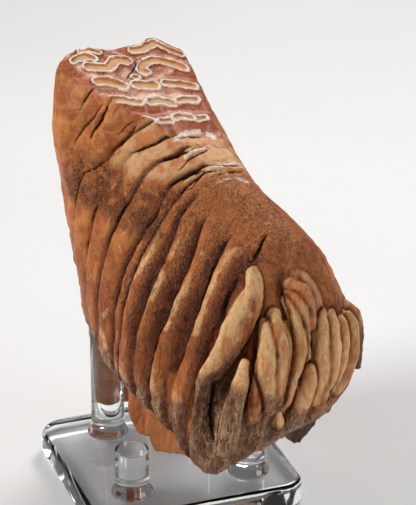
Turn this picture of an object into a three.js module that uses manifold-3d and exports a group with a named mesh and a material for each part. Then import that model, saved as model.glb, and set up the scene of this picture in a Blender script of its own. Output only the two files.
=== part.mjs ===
// A fossil mammoth molar, standing crown up on four clear pegs over a clear base block.
// Millimetres, +Z up. The origin is the centre of the base block's underside, with the block's
// sides along X and Y. The tooth's hind end, with its free finger-like plates, is towards -Y.
import * as THREE from "three";
import { mergeVertices } from "three/addons/utils/BufferGeometryUtils.js";
import Module from "manifold-3d";

const wasm = await Module();
wasm.setup();

// ---------- driving dimensions ----------
const BASE = { width: 124, depth: 119, thickness: 16, corner: 14, edge: 4, arcSteps: 4 };
const PEG = { radius: 9.5, footRadius: 11.8, footHeight: 5.5, edge: 0.8, sides: 20 };
// Where each peg stands on the block, and how high its top is above the block.
const PEGS = {
  peg_rear_left: { at: [-26, 33.5], height: 72 },
  peg_rear_right: { at: [26, 33.5], height: 69 },
  peg_front_left: { at: [-34, -34], height: 28 },
  peg_front_right: { at: [35, -34], height: 48 },
};
const SEAT_GAP = 0.3;

// The tooth's own frame: x to its right, y towards its front end, z up the crown.
const TOOTH = { origin: [-1, -18, 76], pitch: 4.5, roll: 9.7 };
// The worn chewing surface rises towards the front end.
const WORN = { point: [0, 38, 145.8], rise: 0.268, backEnd: -24 };
// Grooves between the plates: where each one is, and how deep beside the others.
const GROOVES = [
  [77.5, 0.7], [64.5, 1], [51.5, 1.1], [38.3, 1.2], [25.3, 1.1], [12.3, 1.2], [-0.7, 1.2],
  [-8, 0.7], [-16, 1], [-26, 1], [-38, 1.2], [-50, 0.7], [-61, 0.6],
];

// Points round the crown's outline, each with how deep the grooves are there.
const OUTLINE = {
  crest: 1, shoulderLeft: 5, cheekLeft: 4, bellyLeft: 3.4, lowLeft: 3.2, footLeft: 2.4,
  footMid: 1.5, footRight: 2.4, lowRight: 3.2, bellyRight: 3.4, cheekRight: 4, shoulderRight: 4,
};
// Outlines across the crown at stations along y, each as [x, z] in the order of OUTLINE.
const STATIONS = [
  { y: 96, outline: [[-14, 167], [-18, 157], [-33, 128], [-38, 95], [-34, 62], [-26, 42],
                     [-14, 36], [-2, 42], [4, 62], [6, 95], [3, 128], [-10, 157]] },
  { y: 89, outline: [[-17, 172], [-28, 160], [-55, 130], [-56, 92], [-46, 52], [-35, 20],
                     [-12, 14], [8, 20], [16, 52], [18, 95], [12, 130], [-2, 162]] },
  { y: 84, outline: [[-28, 172], [-58, 162], [-67, 130], [-59, 90], [-45, 50], [-32, 15],
                     [-10, 8], [12, 15], [22, 50], [22, 95], [13, 130], [0, 160]] },
  { y: 74, outline: [[-32, 172], [-71, 158], [-73, 128], [-62, 88], [-48, 50], [-34, 12],
                     [-10, 4], [14, 12], [24, 50], [23, 92], [13, 128], [1, 158]] },
  { y: 58, outline: [[-28, 164], [-64, 150], [-73, 122], [-65, 86], [-51, 46], [-34, 9],
                     [-8, 0], [20, 8], [30, 46], [29, 88], [17, 124], [2, 152]] },
  { y: 38, outline: [[-22, 158], [-49, 140], [-62, 108], [-63, 82], [-56, 45], [-38, 6],
                     [-6, -2], [28, 5], [38, 45], [37, 84], [23, 118], [5, 144]] },
  { y: 25, outline: [[-15, 150], [-38, 133], [-51, 105], [-57, 76], [-54, 42], [-38, 3],
                     [-4, -4], [34, 4], [44, 44], [43, 82], [28, 112], [7, 139]] },
  { y: 12, outline: [[-9, 146], [-31, 128], [-44, 101], [-51, 72], [-50, 38], [-39, 0],
                     [0, -6], [40, 3], [50, 42], [49, 76], [33, 106], [9, 135]] },
  { y: -1, outline: [[-2, 141], [-24, 124], [-36, 96], [-43, 62], [-43, 30], [-34, -3],
                     [4, -10], [44, 2], [56, 38], [56, 70], [39, 100], [13, 130]] },
  { y: -16, outline: [[4, 136], [-18, 121], [-29, 90], [-37, 58], [-39, 35], [-28, -6],
                      [8, -14], [48, 0], [62, 34], [64, 64], [45, 96], [18, 124]] },
  { y: -26, outline: [[8, 130], [-13, 114], [-21, 84], [-28, 56], [-31, 26], [-20, -11],
                      [12, -16], [50, -1], [66, 30], [69, 58], [50, 90], [25, 121]] },
  { y: -39, outline: [[12, 122], [-4, 107], [-13, 80], [-18, 54], [-22, 15], [-11, -18],
                      [16, -16], [52, 0], [70, 26], [74, 52], [57, 88], [33, 117]] },
  { y: -52, outline: [[17, 112], [-3, 98], [-11, 74], [-16, 46], [-17, 8], [-8, -22],
                      [20, -14], [52, 2], [73, 24], [77, 46], [64, 78], [42, 106]] },
  { y: -60, outline: [[20, 96], [4, 88], [-6, 64], [-12, 38], [-13, 2], [-5, -22],
                      [16, -14], [48, 3], [68, 18], [73, 40], [61, 68], [45, 92]] },
  { y: -68, outline: [[24, 76], [9, 70], [0, 50], [-5, 28], [-8, -2], [-1, -20],
                      [12, -13], [38, 3], [54, 14], [56, 32], [46, 54], [38, 68]] },
  { y: -74, outline: [[20, 42], [12, 40], [5, 30], [2, 14], [0, -2], [1, -16],
                      [10, -10], [24, 2], [36, 12], [38, 22], [34, 32], [28, 40]] },
];
const STEPS_PER_SPAN = 3;
// How far through a plate each ring stands, and how much of the groove's depth it has.
const PLATE_RINGS = [[0, 1], [0.26, 0.12], [0.74, 0.12]];

// Free finger-like ends of the hindmost plates, tip first: points [x, y, z, radius], and how
// flat each one is.
const FINGERS = [
  { flat: 0.6, points: [[4, -55, 98, 3], [4, -59, 93, 4.5], [1, -63, 85, 6.5], [-3, -66, 75, 7.5],
    [-6, -67, 63, 7.5], [-10, -66, 50, 6.5], [-14, -65, 37, 5], [-15, -64, 25, 4.5],
    [-12, -65, 9, 4.5], [-7, -67, -7, 4.5]] },
  { flat: 0.8, points: [[2, -74, 55, 2.5], [0, -77, 50, 3.5], [0, -78, 41, 5], [-1, -78, 28, 5.5],
    [0, -77, 14, 6], [1, -76, -1, 5.5]] },
  { flat: 0.85, points: [[11, -69, 75, 2.5], [12, -72, 69, 4], [12, -75, 60, 5], [14, -76, 49, 5],
    [18, -76, 37, 3.5], [23, -75, 23, 3]] },
  { flat: 0.85, points: [[16, -67, 79, 2.5], [17, -71, 75, 3], [20, -74, 66, 3.5], [22, -75, 53, 3.5],
    [24, -75, 40, 3], [24, -75, 24, 2.5]] },
  { flat: 0.85, points: [[24, -67, 72, 1.5], [25, -71, 66, 2], [27, -73, 56, 2.5], [27, -74, 44, 2.5],
    [28, -74, 31, 2.5]] },
  { flat: 0.8, points: [[8, -76, 46, 1.5], [10, -77, 39, 3], [14, -77, 30, 4], [19, -76, 20, 3]] },
  { flat: 0.8, points: [[24, -54, 99, 1.5], [30, -57.5, 97, 2.5], [37, -60, 90, 2.5], [41, -62, 82, 2.5],
    [42, -64, 71, 2]] },
  { flat: 0.85, points: [[25, -58, 93, 2.5], [30, -62, 93, 3], [35, -64, 87, 3], [37, -67, 80, 2.5],
    [38, -69, 71, 2.5]] },
  { flat: 0.85, points: [[25, -61, 88, 2], [28, -65, 87, 2.5], [32, -68, 81, 3], [36, -70, 72, 2.5],
    [38, -71, 62, 2.5], [38, -72, 51, 2.5]] },
  { flat: 0.85, points: [[23, -63, 86, 1.5], [26, -67, 82, 2.5], [29, -70, 74, 3], [32, -72, 65, 3.5],
    [32, -74, 55, 3.5], [31, -75, 43, 3.5], [31, -75, 31, 3]] },
  { flat: 0.8, points: [[44, -64, 78, 2], [45, -67, 72, 3], [47, -70, 62, 3.5], [48, -72, 51, 4],
    [50, -72, 40, 3.5], [49, -72, 28, 3]] },
  { flat: 0.8, points: [[51, -63, 76, 2], [52, -66, 71, 3], [53, -69, 62, 4], [55, -70, 51, 4],
    [55, -70, 39, 3]] },
  { flat: 0.8, points: [[59, -61, 72, 1.5], [60, -64, 67, 2.5], [61, -66, 58, 3], [61, -67, 49, 3],
    [59, -68, 39, 3]] },
  { flat: 0.8, points: [[63, -58, 74, 1.5], [67, -60, 68, 2.5], [69, -62, 60, 2.5], [71, -62, 48, 2.5],
    [69, -63, 37, 2.5], [64, -64, 27, 3]] },
  { flat: 0.8, points: [[63, -52, 77, 1.5], [69, -55, 73, 2], [73, -57, 63, 2], [76, -57, 50, 2],
    [78, -56, 38, 2]] },
  { flat: 0.8, points: [[40, -74, 51, 2.5], [40, -76, 45, 4], [40, -76, 36, 5], [39, -76, 27, 4.5],
    [37, -75, 16, 4]] },
  { flat: 0.9, points: [[27, -77, 24, 1.5], [29, -77, 18, 2.5], [30, -76, 11, 2.5]] },
  { flat: 0.9, points: [[57, -67, 28, 1.5], [54, -70, 23, 3], [48, -72, 17, 3.5]] },
];
const FINGER = { sides: 7, tipShare: 0.6 };

// Enamel loops standing out of the worn surface: ends of each loop as [x, y, x, y].
const LOOPS = { halfWidth: 3.1, wall: 1.1, proud: 0.9, buried: 1.5, ends: [
  [-31, 84, -14, 91], [-13, 91, 1, 85], [-68, 77, -54, 77], [-61, 69, -44, 71], [-43, 76, -31, 77],
  [-27, 72, -14, 78], [-14, 78, 1, 73], [-58, 60, -39, 56], [-37, 57, -21, 57], [-20, 58, 2, 59],
  [-52, 44, -33, 44], [-32, 44, -16, 45], [-14, 46, 0, 47], [-40, 30, -25, 31], [-24, 31, -2, 33],
] };

// The thin root wall under the crown, open in the middle: points round it, each with how far
// the wall's foot is down, and how far it leans in from the top.
const ROOT = {
  top: 26, hub: [14, 2, -2], thickness: 7, steps: 3, count: 42,
  rim: [
    [-18, 72, 6, 2], [-32, 52, 5, 3], [-34, 30, 0, 6], [-33, 12, -6, 8], [-31, 4, -34, 10],
    [-24, -4, -39, 11], [-27, -12, -29, 11], [-20, -20, -41, 11], [-13, -28, -37, 8],
    [-5, -39, -32, 6], [8, -50, -27, 4], [22, -54, -26, 3], [35, -52, -21, 3], [49, -48, -13, 3],
    [60, -46, -18, 4], [68, -38, -14, 4], [60, -20, -12, 5], [48, 2, -12, 6], [38, 24, -6, 5],
    [29, 46, 0, 4], [12, 70, 6, 2],
  ],
};

// The deep root lobe under the front of the tooth, behind the rear pegs: sections going down,
// each as [x, y, z, half width, half thickness].
const LOBE = {
  count: 20, boxiness: 0.7,
  sections: [[-6, 69, 22, 23, 7], [-6, 68.3, 0, 25, 6.3], [-4, 66.8, -20, 23.5, 5.3],
             [-1.5, 65.2, -40, 20.5, 4.3], [0, 64, -57, 18.5, 3.2]],
};

// ---------- small helpers ----------
function solidFrom(geometry) {
  const bare = geometry.clone();
  bare.deleteAttribute("normal");
  bare.deleteAttribute("uv");
  const merged = mergeVertices(bare, 1e-4);
  return new wasm.Manifold(
    new wasm.Mesh({
      numProp: 3,
      vertProperties: merged.attributes.position.array,
      triVerts: new Uint32Array(merged.index.array),
    }),
  );
}

function geometryFrom(solid) {
  const mesh = solid.getMesh();
  const geometry = new THREE.BufferGeometry();
  geometry.setAttribute("position", new THREE.BufferAttribute(mesh.vertProperties, 3));
  geometry.setIndex(new THREE.BufferAttribute(mesh.triVerts, 1));
  geometry.computeVertexNormals();
  return geometry;
}

// A closed skin over rings of equal point count, with a fan over each end unless it closes on
// itself.
function skin(rings, capped = true) {
  const count = rings[0].length;
  const points = rings.flat();
  const faces = [];
  for (let r = 0; r + 1 < rings.length; r++) {
    for (let i = 0; i < count; i++) {
      const a = r * count + i;
      const b = r * count + ((i + 1) % count);
      faces.push(a, b, a + count, b, b + count, a + count);
    }
  }
  for (const end of capped ? [0, rings.length - 1] : []) {
    const middle = new THREE.Vector3();
    rings[end].forEach((p) => middle.addScaledVector(p, 1 / count));
    const hub = points.push(middle) - 1;
    for (let i = 0; i < count; i++) {
      const a = end * count + i;
      const b = end * count + ((i + 1) % count);
      if (end === 0) faces.push(hub, b, a);
      else faces.push(hub, a, b);
    }
  }
  const geometry = new THREE.BufferGeometry().setFromPoints(points);
  geometry.setIndex(faces);
  const solid = solidFrom(geometry);
  if (solid.volume() > 0) return solid;
  // The rings ran the other way round, so every face is turned over.
  for (let i = 0; i < faces.length; i += 3) {
    [faces[i + 1], faces[i + 2]] = [faces[i + 2], faces[i + 1]];
  }
  geometry.setIndex(faces);
  return solidFrom(geometry);
}

// ---------- the crown ----------
function outlineAt(y) {
  let i = 1;
  while (i < STATIONS.length - 1 && STATIONS[i].y > y) i++;
  const at = (k) => STATIONS[Math.min(Math.max(k, 0), STATIONS.length - 1)];
  const [p0, p1, p2, p3] = [at(i - 2), at(i - 1), at(i), at(i + 1)];
  const t = (p1.y - y) / (p1.y - p2.y);
  // Slopes of a smooth curve through the stations, which are unevenly spaced.
  const value = (s, k, axis) => s.outline[k][axis];
  const slope = (a, b, k, axis) => (a === b ? 0 : (value(b, k, axis) - value(a, k, axis)) / (b.y - a.y));
  return Object.keys(OUTLINE).map((_, k) => {
    const coordinate = (axis) => {
      const span = p2.y - p1.y;
      const m1 = slope(p0, p2, k, axis) * span;
      const m2 = slope(p1, p3, k, axis) * span;
      const a = value(p1, k, axis);
      const b = value(p2, k, axis);
      const t2 = t * t;
      const t3 = t2 * t;
      return (2 * t3 - 3 * t2 + 1) * a + (t3 - 2 * t2 + t) * m1 + (3 * t2 - 2 * t3) * b + (t3 - t2) * m2;
    };
    return new THREE.Vector3(coordinate(0), y, coordinate(1));
  });
}

function ringAt(y, groove) {
  const keys = outlineAt(y);
  const depths = Object.values(OUTLINE);
  const curve = new THREE.CatmullRomCurve3(keys, true, "centripetal");
  const middle = new THREE.Vector3();
  keys.forEach((p) => middle.addScaledVector(p, 1 / keys.length));
  const ring = [];
  for (let k = 0; k < keys.length; k++) {
    for (let step = 0; step < STEPS_PER_SPAN; step++) {
      const t = step / STEPS_PER_SPAN;
      const depth = THREE.MathUtils.lerp(depths[k], depths[(k + 1) % keys.length], t);
      const point = curve.getPoint((k + t) / keys.length);
      const inwards = middle.clone().sub(point).normalize();
      ring.push(point.addScaledVector(inwards, depth * groove));
    }
  }
  return ring;
}

function crownBody() {
  const front = STATIONS[0].y;
  const back = STATIONS.at(-1).y;
  const rings = [front, 92.5, 89, 84].map((y) => ringAt(y, 0));
  GROOVES.forEach(([y, depth], k) => {
    const next = k + 1 < GROOVES.length ? GROOVES[k + 1] : [back + 2, 0.3];
    for (const [t, share] of PLATE_RINGS) {
      rings.push(ringAt(THREE.MathUtils.lerp(y, next[0], t), share * (t < 0.5 ? depth : next[1])));
    }
  });
  rings.push(ringAt(back + 1.8, 0.3), ringAt(back, 0));
  return skin(rings);
}

// Everything above the worn surface, as a block to cut away.
function wornBlock() {
  const size = 300;
  const box = new THREE.BoxGeometry(size, size, 120).translate(0, size / 2, 60);
  const [x, y, z] = WORN.point;
  const back = WORN.backEnd - y;
  return box.rotateX(Math.atan(WORN.rise)).translate(x, y + back, z + back * WORN.rise);
}

// A finger: rings round a curve through its points, drawn in to a blunt tip.
function finger({ flat, points }) {
  const path = new THREE.CatmullRomCurve3(points.map(([x, y, z]) => new THREE.Vector3(x, y, z)));
  const across = new THREE.Vector3(1, 0, 0);
  const ringOf = (t, radius, centre) => {
    const along = path.getTangent(t);
    const side = across.clone().addScaledVector(along, -across.dot(along)).normalize();
    const out = new THREE.Vector3().crossVectors(along, side);
    return Array.from({ length: FINGER.sides }, (_, s) => {
      const angle = (2 * Math.PI * s) / FINGER.sides;
      const point = centre.clone().addScaledVector(side, radius * Math.cos(angle));
      return point.addScaledVector(out, radius * flat * Math.sin(angle));
    });
  };
  const rings = points.map(([x, y, z, r], i) =>
    ringOf(i / (points.length - 1), r, new THREE.Vector3(x, y, z)));
  const tipRadius = points[0][3];
  const tip = path.getPoint(0).addScaledVector(path.getTangent(0), -tipRadius * FINGER.tipShare);
  rings.unshift(ringOf(0, tipRadius * 0.5, tip));
  return skin(rings);
}

// An enamel loop: a low wall round a long flat oval, following the worn surface.
function enamelLoop([x0, y0, x1, y1]) {
  const { halfWidth, wall, proud, buried } = LOOPS;
  const length = Math.hypot(x1 - x0, y1 - y0);
  const turn = Math.atan2(y1 - y0, x1 - x0);
  const corners = 8;
  const rings = [[wall, proud], [wall, -buried], [-wall, -buried], [-wall, proud]];
  const band = rings.map(([grow, lift]) =>
    Array.from({ length: corners }, (_, i) => {
      const angle = (2 * Math.PI * (i + 0.5)) / corners;
      const reach = length / 2 - halfWidth;
      const along = Math.sign(Math.cos(angle)) * reach + (halfWidth + grow) * Math.cos(angle);
      const side = (halfWidth + grow) * Math.sin(angle);
      const x = (x0 + x1) / 2 + along * Math.cos(turn) - side * Math.sin(turn);
      const y = (y0 + y1) / 2 + along * Math.sin(turn) + side * Math.cos(turn);
      return new THREE.Vector3(x, y, WORN.point[2] + WORN.rise * (y - WORN.point[1]) + lift);
    }));
  return skin([...band, band[0]], false);
}

// The root wall: a skin from inside the crown down to an uneven foot, hollowed to a hub.
function rootWall() {
  const { top, hub, steps, count, rim } = ROOT;
  const centre = new THREE.Vector3(...hub);
  const tops = rim.map(([x, y]) => new THREE.Vector3(x, y, top));
  const feet = rim.map(([x, y, z, lean]) => {
    const inwards = new THREE.Vector3(centre.x - x, centre.y - y, 0).setLength(lean);
    return new THREE.Vector3(x, y, z).add(inwards);
  });
  const upper = new THREE.CatmullRomCurve3(tops, true, "centripetal");
  const lower = new THREE.CatmullRomCurve3(feet, true, "centripetal");
  const rings = [];
  for (let i = 0; i <= steps; i++) {
    const ring = [];
    for (let k = 0; k < count; k++) {
      const t = k / count;
      ring.push(upper.getPoint(t).lerp(lower.getPoint(t), i / steps));
    }
    rings.push(ring);
  }
  // The wall's inside climbs back up towards the hub.
  rings.push(rings.at(-1).map((p) => {
    const inner = centre.clone().sub(p).setZ(0).setLength(ROOT.thickness).add(p);
    return inner.setZ(p.z + 3);
  }));
  rings.push(rings.at(-1).map((p) => p.clone().lerp(centre, 0.5).setZ(centre.z)));
  return skin(rings);
}

// The root lobe: a thin tapering tongue, rounded at both edges.
function rootLobe() {
  const { count, boxiness, sections } = LOBE;
  const round = (value) => Math.sign(value) * Math.abs(value) ** boxiness;
  return skin(sections.map(([x, y, z, halfWidth, halfThickness]) =>
    Array.from({ length: count }, (_, k) => {
      const angle = (2 * Math.PI * k) / count;
      const across = halfWidth * round(Math.cos(angle));
      return new THREE.Vector3(x + across, y + halfThickness * round(Math.sin(angle)), z);
    })));
}

// ---------- the stand ----------
function makeBase() {
  const { width, depth, thickness, corner, edge, arcSteps } = BASE;
  const shape = new THREE.Shape();
  const corners = [[1, 1], [-1, 1], [-1, -1], [1, -1]];
  corners.forEach(([sx, sy], quarter) => {
    for (let i = 0; i <= arcSteps; i++) {
      const angle = (Math.PI / 2) * (quarter + i / arcSteps);
      const x = sx * (width / 2 - corner) + corner * Math.cos(angle);
      const y = sy * (depth / 2 - corner) + corner * Math.sin(angle);
      if (quarter === 0 && i === 0) shape.moveTo(x, y);
      else shape.lineTo(x, y);
    }
  });
  shape.closePath();
  return new THREE.ExtrudeGeometry(shape, {
    depth: thickness - 2 * edge,
    bevelEnabled: true, bevelThickness: edge, bevelSize: edge, bevelOffset: -edge, bevelSegments: 2,
  }).translate(0, 0, edge);
}

function makePeg(height, grow = 0) {
  const { radius, footRadius, footHeight, edge } = PEG;
  const profile = [
    [0, 0], [footRadius - 0.8, 0], [footRadius, 1], [footRadius - 0.3, 3],
    [radius, footHeight + 1], [radius, height - edge], [radius - edge, height], [0, height],
  ].map(([r, z]) => new THREE.Vector2(r && r + grow, z && z + grow));
  return new THREE.LatheGeometry(profile, PEG.sides).rotateX(Math.PI / 2);
}

// ---------- the tooth, seated on its pegs ----------
const tooth = new THREE.Group();
tooth.position.set(...TOOTH.origin);
const [pitch, roll] = [TOOTH.pitch, TOOTH.roll].map(THREE.MathUtils.degToRad);
tooth.rotation.set(pitch, roll, 0, "ZYX");
tooth.updateMatrix();

function makeMolar() {
  let solid = crownBody().subtract(solidFrom(wornBlock()));
  for (const item of FINGERS) solid = solid.add(finger(item));
  for (const ends of LOOPS.ends) solid = solid.add(enamelLoop(ends));
  solid = solid.add(rootWall()).add(rootLobe());
  // Each peg's top sits in a shallow seat, clear of it by the seat gap.
  const toTooth = tooth.matrix.clone().invert();
  for (const { at, height } of Object.values(PEGS)) {
    const peg = makePeg(height, SEAT_GAP).translate(at[0], at[1], BASE.thickness);
    solid = solid.subtract(solidFrom(peg.applyMatrix4(toTooth)));
  }
  return geometryFrom(solid);
}

// ---------- assembly ----------
const fossil = new THREE.MeshStandardMaterial({ color: 0xa86f3e, roughness: 0.6, metalness: 0 });
const acrylic = new THREE.MeshStandardMaterial({ color: 0xf2f5f7, roughness: 0.05, metalness: 0 });

function named(name, geometry, material) {
  const mesh = new THREE.Mesh(geometry, material);
  mesh.name = name;
  return mesh;
}

const specimen = new THREE.Group();
specimen.add(named("base_block", makeBase(), acrylic));
for (const [name, { at, height }] of Object.entries(PEGS)) {
  const peg = named(name, makePeg(height), acrylic);
  peg.position.set(at[0], at[1], BASE.thickness);
  specimen.add(peg);
}
tooth.add(named("molar", makeMolar(), fossil));
specimen.add(tooth);

export default specimen;
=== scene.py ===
"""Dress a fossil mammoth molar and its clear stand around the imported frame.

Sizes in the classes are millimetres, and the scene is in metres. The tooth has its own frame:
x to its right, y towards its front end and z up the crown.
"""

import logging
import math
from dataclasses import dataclass
from enum import Enum
from itertools import product

import bpy
import numpy as np
from mathutils import Matrix, Vector


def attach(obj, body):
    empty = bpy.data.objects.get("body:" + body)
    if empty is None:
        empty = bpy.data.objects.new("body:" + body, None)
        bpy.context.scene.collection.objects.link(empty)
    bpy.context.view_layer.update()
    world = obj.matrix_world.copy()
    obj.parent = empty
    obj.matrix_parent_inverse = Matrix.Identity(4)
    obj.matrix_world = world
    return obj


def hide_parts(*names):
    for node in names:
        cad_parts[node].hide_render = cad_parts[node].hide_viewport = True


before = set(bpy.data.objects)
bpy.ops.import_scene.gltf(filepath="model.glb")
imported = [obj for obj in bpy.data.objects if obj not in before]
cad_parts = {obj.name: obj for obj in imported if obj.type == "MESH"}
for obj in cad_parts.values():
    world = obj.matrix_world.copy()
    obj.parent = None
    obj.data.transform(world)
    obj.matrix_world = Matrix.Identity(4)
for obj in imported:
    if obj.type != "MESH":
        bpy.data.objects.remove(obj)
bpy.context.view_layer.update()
MM = 0.001
log = logging.getLogger("molar")

Points = np.ndarray
Row = tuple[float, ...]
Piece = bpy.types.Object
Socket = bpy.types.NodeSocket


class Slot(Enum):
    """Names for the fossil's and the acrylic's materials."""

    FOSSIL = "fossil"
    ACRYLIC = "acrylic"


def select_only(piece: Piece) -> None:
    """Deselect everything, then select one object and make it active.

    Args:
        piece: The object.
    """
    bpy.ops.object.select_all(action="DESELECT")
    piece.select_set(True)
    bpy.context.view_layer.objects.active = piece


def start_choice(kind: str) -> None:
    """Deselect all of the active mesh, and leave it ready for its parts to be chosen.

    Args:
        kind: What is chosen: FACE or EDGE.
    """
    bpy.ops.object.mode_set(mode="EDIT")
    bpy.ops.mesh.select_mode(type=kind)
    bpy.ops.mesh.select_all(action="DESELECT")
    bpy.ops.object.mode_set(mode="OBJECT")


# ---------- numbers over points ----------
def ramp(value: Points, low: float, high: float) -> Points:
    """Rise smoothly from 0 at low to 1 at high.

    Args:
        value: Numbers of any shape.
        low: Where the rise starts; it may be above high, for a fall.
        high: Where the rise ends.

    Returns:
        The risen numbers, from 0 to 1.
    """
    t = np.clip((value - low) / (high - low), 0.0, 1.0)
    return t * t * (3.0 - 2.0 * t)


def bell(value: Points, width: float) -> Points:
    """Return a bell round zero, 1 at its middle, for numbers of any shape."""
    return np.exp(-((value / width) ** 2))


@dataclass(frozen=True)
class Noise:
    """Smooth seeded noise over points."""

    seed: int
    # What mixes a cell's place, the seed and the octave into one number.
    cell_steps: tuple[int, int, int] = (73856093, 19349663, 83492791)
    seed_step: int = 7919
    octave_step: int = 104729
    scramble: int = 1274126177
    bits: int = 0x7FFFFFFF

    def at(self, points: Points, size: float, octaves: int = 1, upright: float = 1.0) -> Points:
        """Sample the noise.

        Args:
            points: An (n, 3) array.
            size: The size of its largest lumps, in the points' units.
            octaves: How many times finer lumps are added.
            upright: What heights are multiplied by first; under 1 it draws the lumps out upright.

        Returns:
            An array of n numbers, from about -1 to 1.
        """
        drawn = points * np.array([1.0, 1.0, upright])
        total = np.zeros(len(points))
        share = 1.0
        reach = 0.0
        for octave in range(octaves):
            total += share * self._lumps(drawn / (size * 0.5**octave), octave)
            reach += share
            share *= 0.5
        return total / reach

    def _lumps(self, cells: Points, octave: int) -> Points:
        """Sample one octave.

        Args:
            cells: The points, measured in cells.
            octave: Which octave it is.

        Returns:
            An array of numbers from -1 to 1.
        """
        base = np.floor(cells).astype(np.int64)
        t = cells - base
        t = t * t * (3.0 - 2.0 * t)
        total = np.zeros(len(cells))
        for corner in product((0, 1), repeat=3):
            x, y, z = ((base + np.array(corner)) * np.array(self.cell_steps)).T
            mixed = ((x ^ y ^ z) + self.seed * self.seed_step + octave * self.octave_step) & self.bits
            mixed = (mixed ^ (mixed >> 13)) * self.scramble & self.bits
            value = (mixed ^ (mixed >> 16)) % 65536 / 32767.5 - 1.0
            weight = np.prod(np.where(np.array(corner) == 1, t, 1.0 - t), axis=1)
            total += weight * value
        return total


def eased(t: Points | float, first: Points, start: Points, last: Points, end: Points) -> Points:
    """Go from one point to another on a cubic curve.

    Args:
        t: How far to go, from 0 to 1.
        first: The first point.
        start: The way it leaves.
        last: The last point.
        end: The way it comes in.

    Returns:
        Where that is.
    """
    return (
        (2 * t**3 - 3 * t**2 + 1) * first + (t**3 - 2 * t**2 + t) * start
        + (3 * t**2 - 2 * t**3) * last + (t**3 - t**2) * end
    )


def curve_through(keys: Points, steps: int, closed: bool) -> Points:
    """Run a smooth centripetal curve through points.

    Args:
        keys: An (n, d) array of points.
        steps: How many steps each span takes.
        closed: Whether the last point joins the first.

    Returns:
        An (m, d) array of points along the curve, the last key included if it is open.
    """
    count = len(keys)
    spans = count if closed else count - 1
    t = (np.arange(steps) / steps)[:, None]
    rows = []
    for k in range(spans):
        if closed:
            a, b, c, d = (keys[(k + offset) % count] for offset in (-1, 0, 1, 2))
        else:
            b, c = keys[k], keys[k + 1]
            a = keys[k - 1] if k > 0 else 2 * b - c
            d = keys[k + 2] if k + 2 < count else 2 * c - b
        pairs = ((a, b), (b, c), (c, d))
        ta, tb, tc = (max(float(np.linalg.norm(q - p)) ** 0.5, 1e-4) for p, q in pairs)
        start = ((b - a) / ta - (c - a) / (ta + tb) + (c - b) / tb) * tb
        end = ((c - b) / tb - (d - b) / (tb + tc) + (d - c) / tc) * tb
        rows.append(eased(t, b, start, c, end))
    if not closed:
        rows.append(keys[-1:])
    return np.concatenate(rows)


def nearest_on_line(points: Points, line: Points) -> tuple[Points, Points]:
    """Find where points are nearest to a line of straight stretches.

    Args:
        points: An (n, d) array.
        line: An (m, d) array of the line's corners.

    Returns:
        An array of n distances, and one of how far along the line that is, from 0 to 1.
    """
    lengths = np.linalg.norm(np.diff(line, axis=0), axis=1)
    starts = np.concatenate([[0.0], np.cumsum(lengths)])
    best = np.full(len(points), np.inf)
    place = np.zeros(len(points))
    for a, b, start, length in zip(line[:-1], line[1:], starts, lengths):
        along = b - a
        t = np.clip((points - a) @ along / max(float(along @ along), 1e-9), 0.0, 1.0)
        off = np.linalg.norm(points - a - t[:, None] * along, axis=1)
        place = np.where(off < best, start + t * length, place)
        best = np.minimum(best, off)
    return best, place / max(float(starts[-1]), 1e-9)


# ---------- the tooth's frame and form ----------
@dataclass(frozen=True)
class ToothFrame:
    """Where the tooth stands and how it leans."""

    origin: Row = (-1.0, -18.0, 76.0)
    pitch: float = 4.5
    roll: float = 9.7

    def matrix(self) -> Points:
        """Make the turn from the tooth's frame to the stand's.

        Returns:
            A 3 by 3 matrix.
        """
        p = math.radians(self.pitch)
        r = math.radians(self.roll)
        about_y = np.array([[math.cos(r), 0, math.sin(r)], [0, 1, 0], [-math.sin(r), 0, math.cos(r)]])
        about_x = np.array([[1, 0, 0], [0, math.cos(p), -math.sin(p)], [0, math.sin(p), math.cos(p)]])
        return about_y @ about_x

    def to_stand(self, points: Points) -> Points:
        """Return points of the tooth's frame in the stand's, in mm."""
        return points @ self.matrix().T + np.array(self.origin)

    def to_tooth(self, points: Points) -> Points:
        """Return points of the stand's frame in the tooth's, in mm."""
        return (points - np.array(self.origin)) @ self.matrix()

    def undone(self) -> Row:
        """Return the turn that stands a finish's object coordinates upright in the tooth."""
        return math.radians(-self.pitch), math.radians(-self.roll), 0


@dataclass(frozen=True)
class Shell:
    """A closed skin: its points in the tooth's frame, and its faces."""

    points: Points
    faces: list[tuple[int, ...]]


def skin(rings: list[Points], capped: bool = True) -> Shell:
    """Close a skin over rings of equal point count.

    Args:
        rings: (n, 3) arrays, in order.
        capped: Whether a fan closes each end; otherwise the last ring meets the first.

    Returns:
        The shell.
    """
    count = len(rings[0])
    points = np.concatenate(rings)
    faces: list[tuple[int, ...]] = []
    last = len(rings) - 1 if capped else len(rings)
    for r in range(last):
        low, high = r * count, (r + 1) % len(rings) * count
        faces += [(low + i, low + (i + 1) % count, high + (i + 1) % count, high + i) for i in range(count)]
    if capped:
        for row, flip in ((0, True), (len(rings) - 1, False)):
            hub = len(points)
            points = np.vstack([points, rings[row].mean(axis=0)])
            for i in range(count):
                edge = (row * count + i, row * count + (i + 1) % count)
                faces.append((hub, edge[1], edge[0]) if flip else (hub, *edge))
    return Shell(points, faces)


@dataclass(frozen=True)
class Groove:
    """A groove between two plates: its depth beside the others, and its course down the left side."""

    y: float
    depth: float
    course: tuple[Row, ...] = ()

    def y_at(self, height: Points) -> Points:
        """Find the groove's course.

        Args:
            height: Heights in the tooth's frame.

        Returns:
            How far along the tooth the groove runs at each height.
        """
        if not self.course:
            return np.full(len(height), self.y)
        z, y = np.array(sorted(self.course)).T
        return np.interp(height, z, y)


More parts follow.
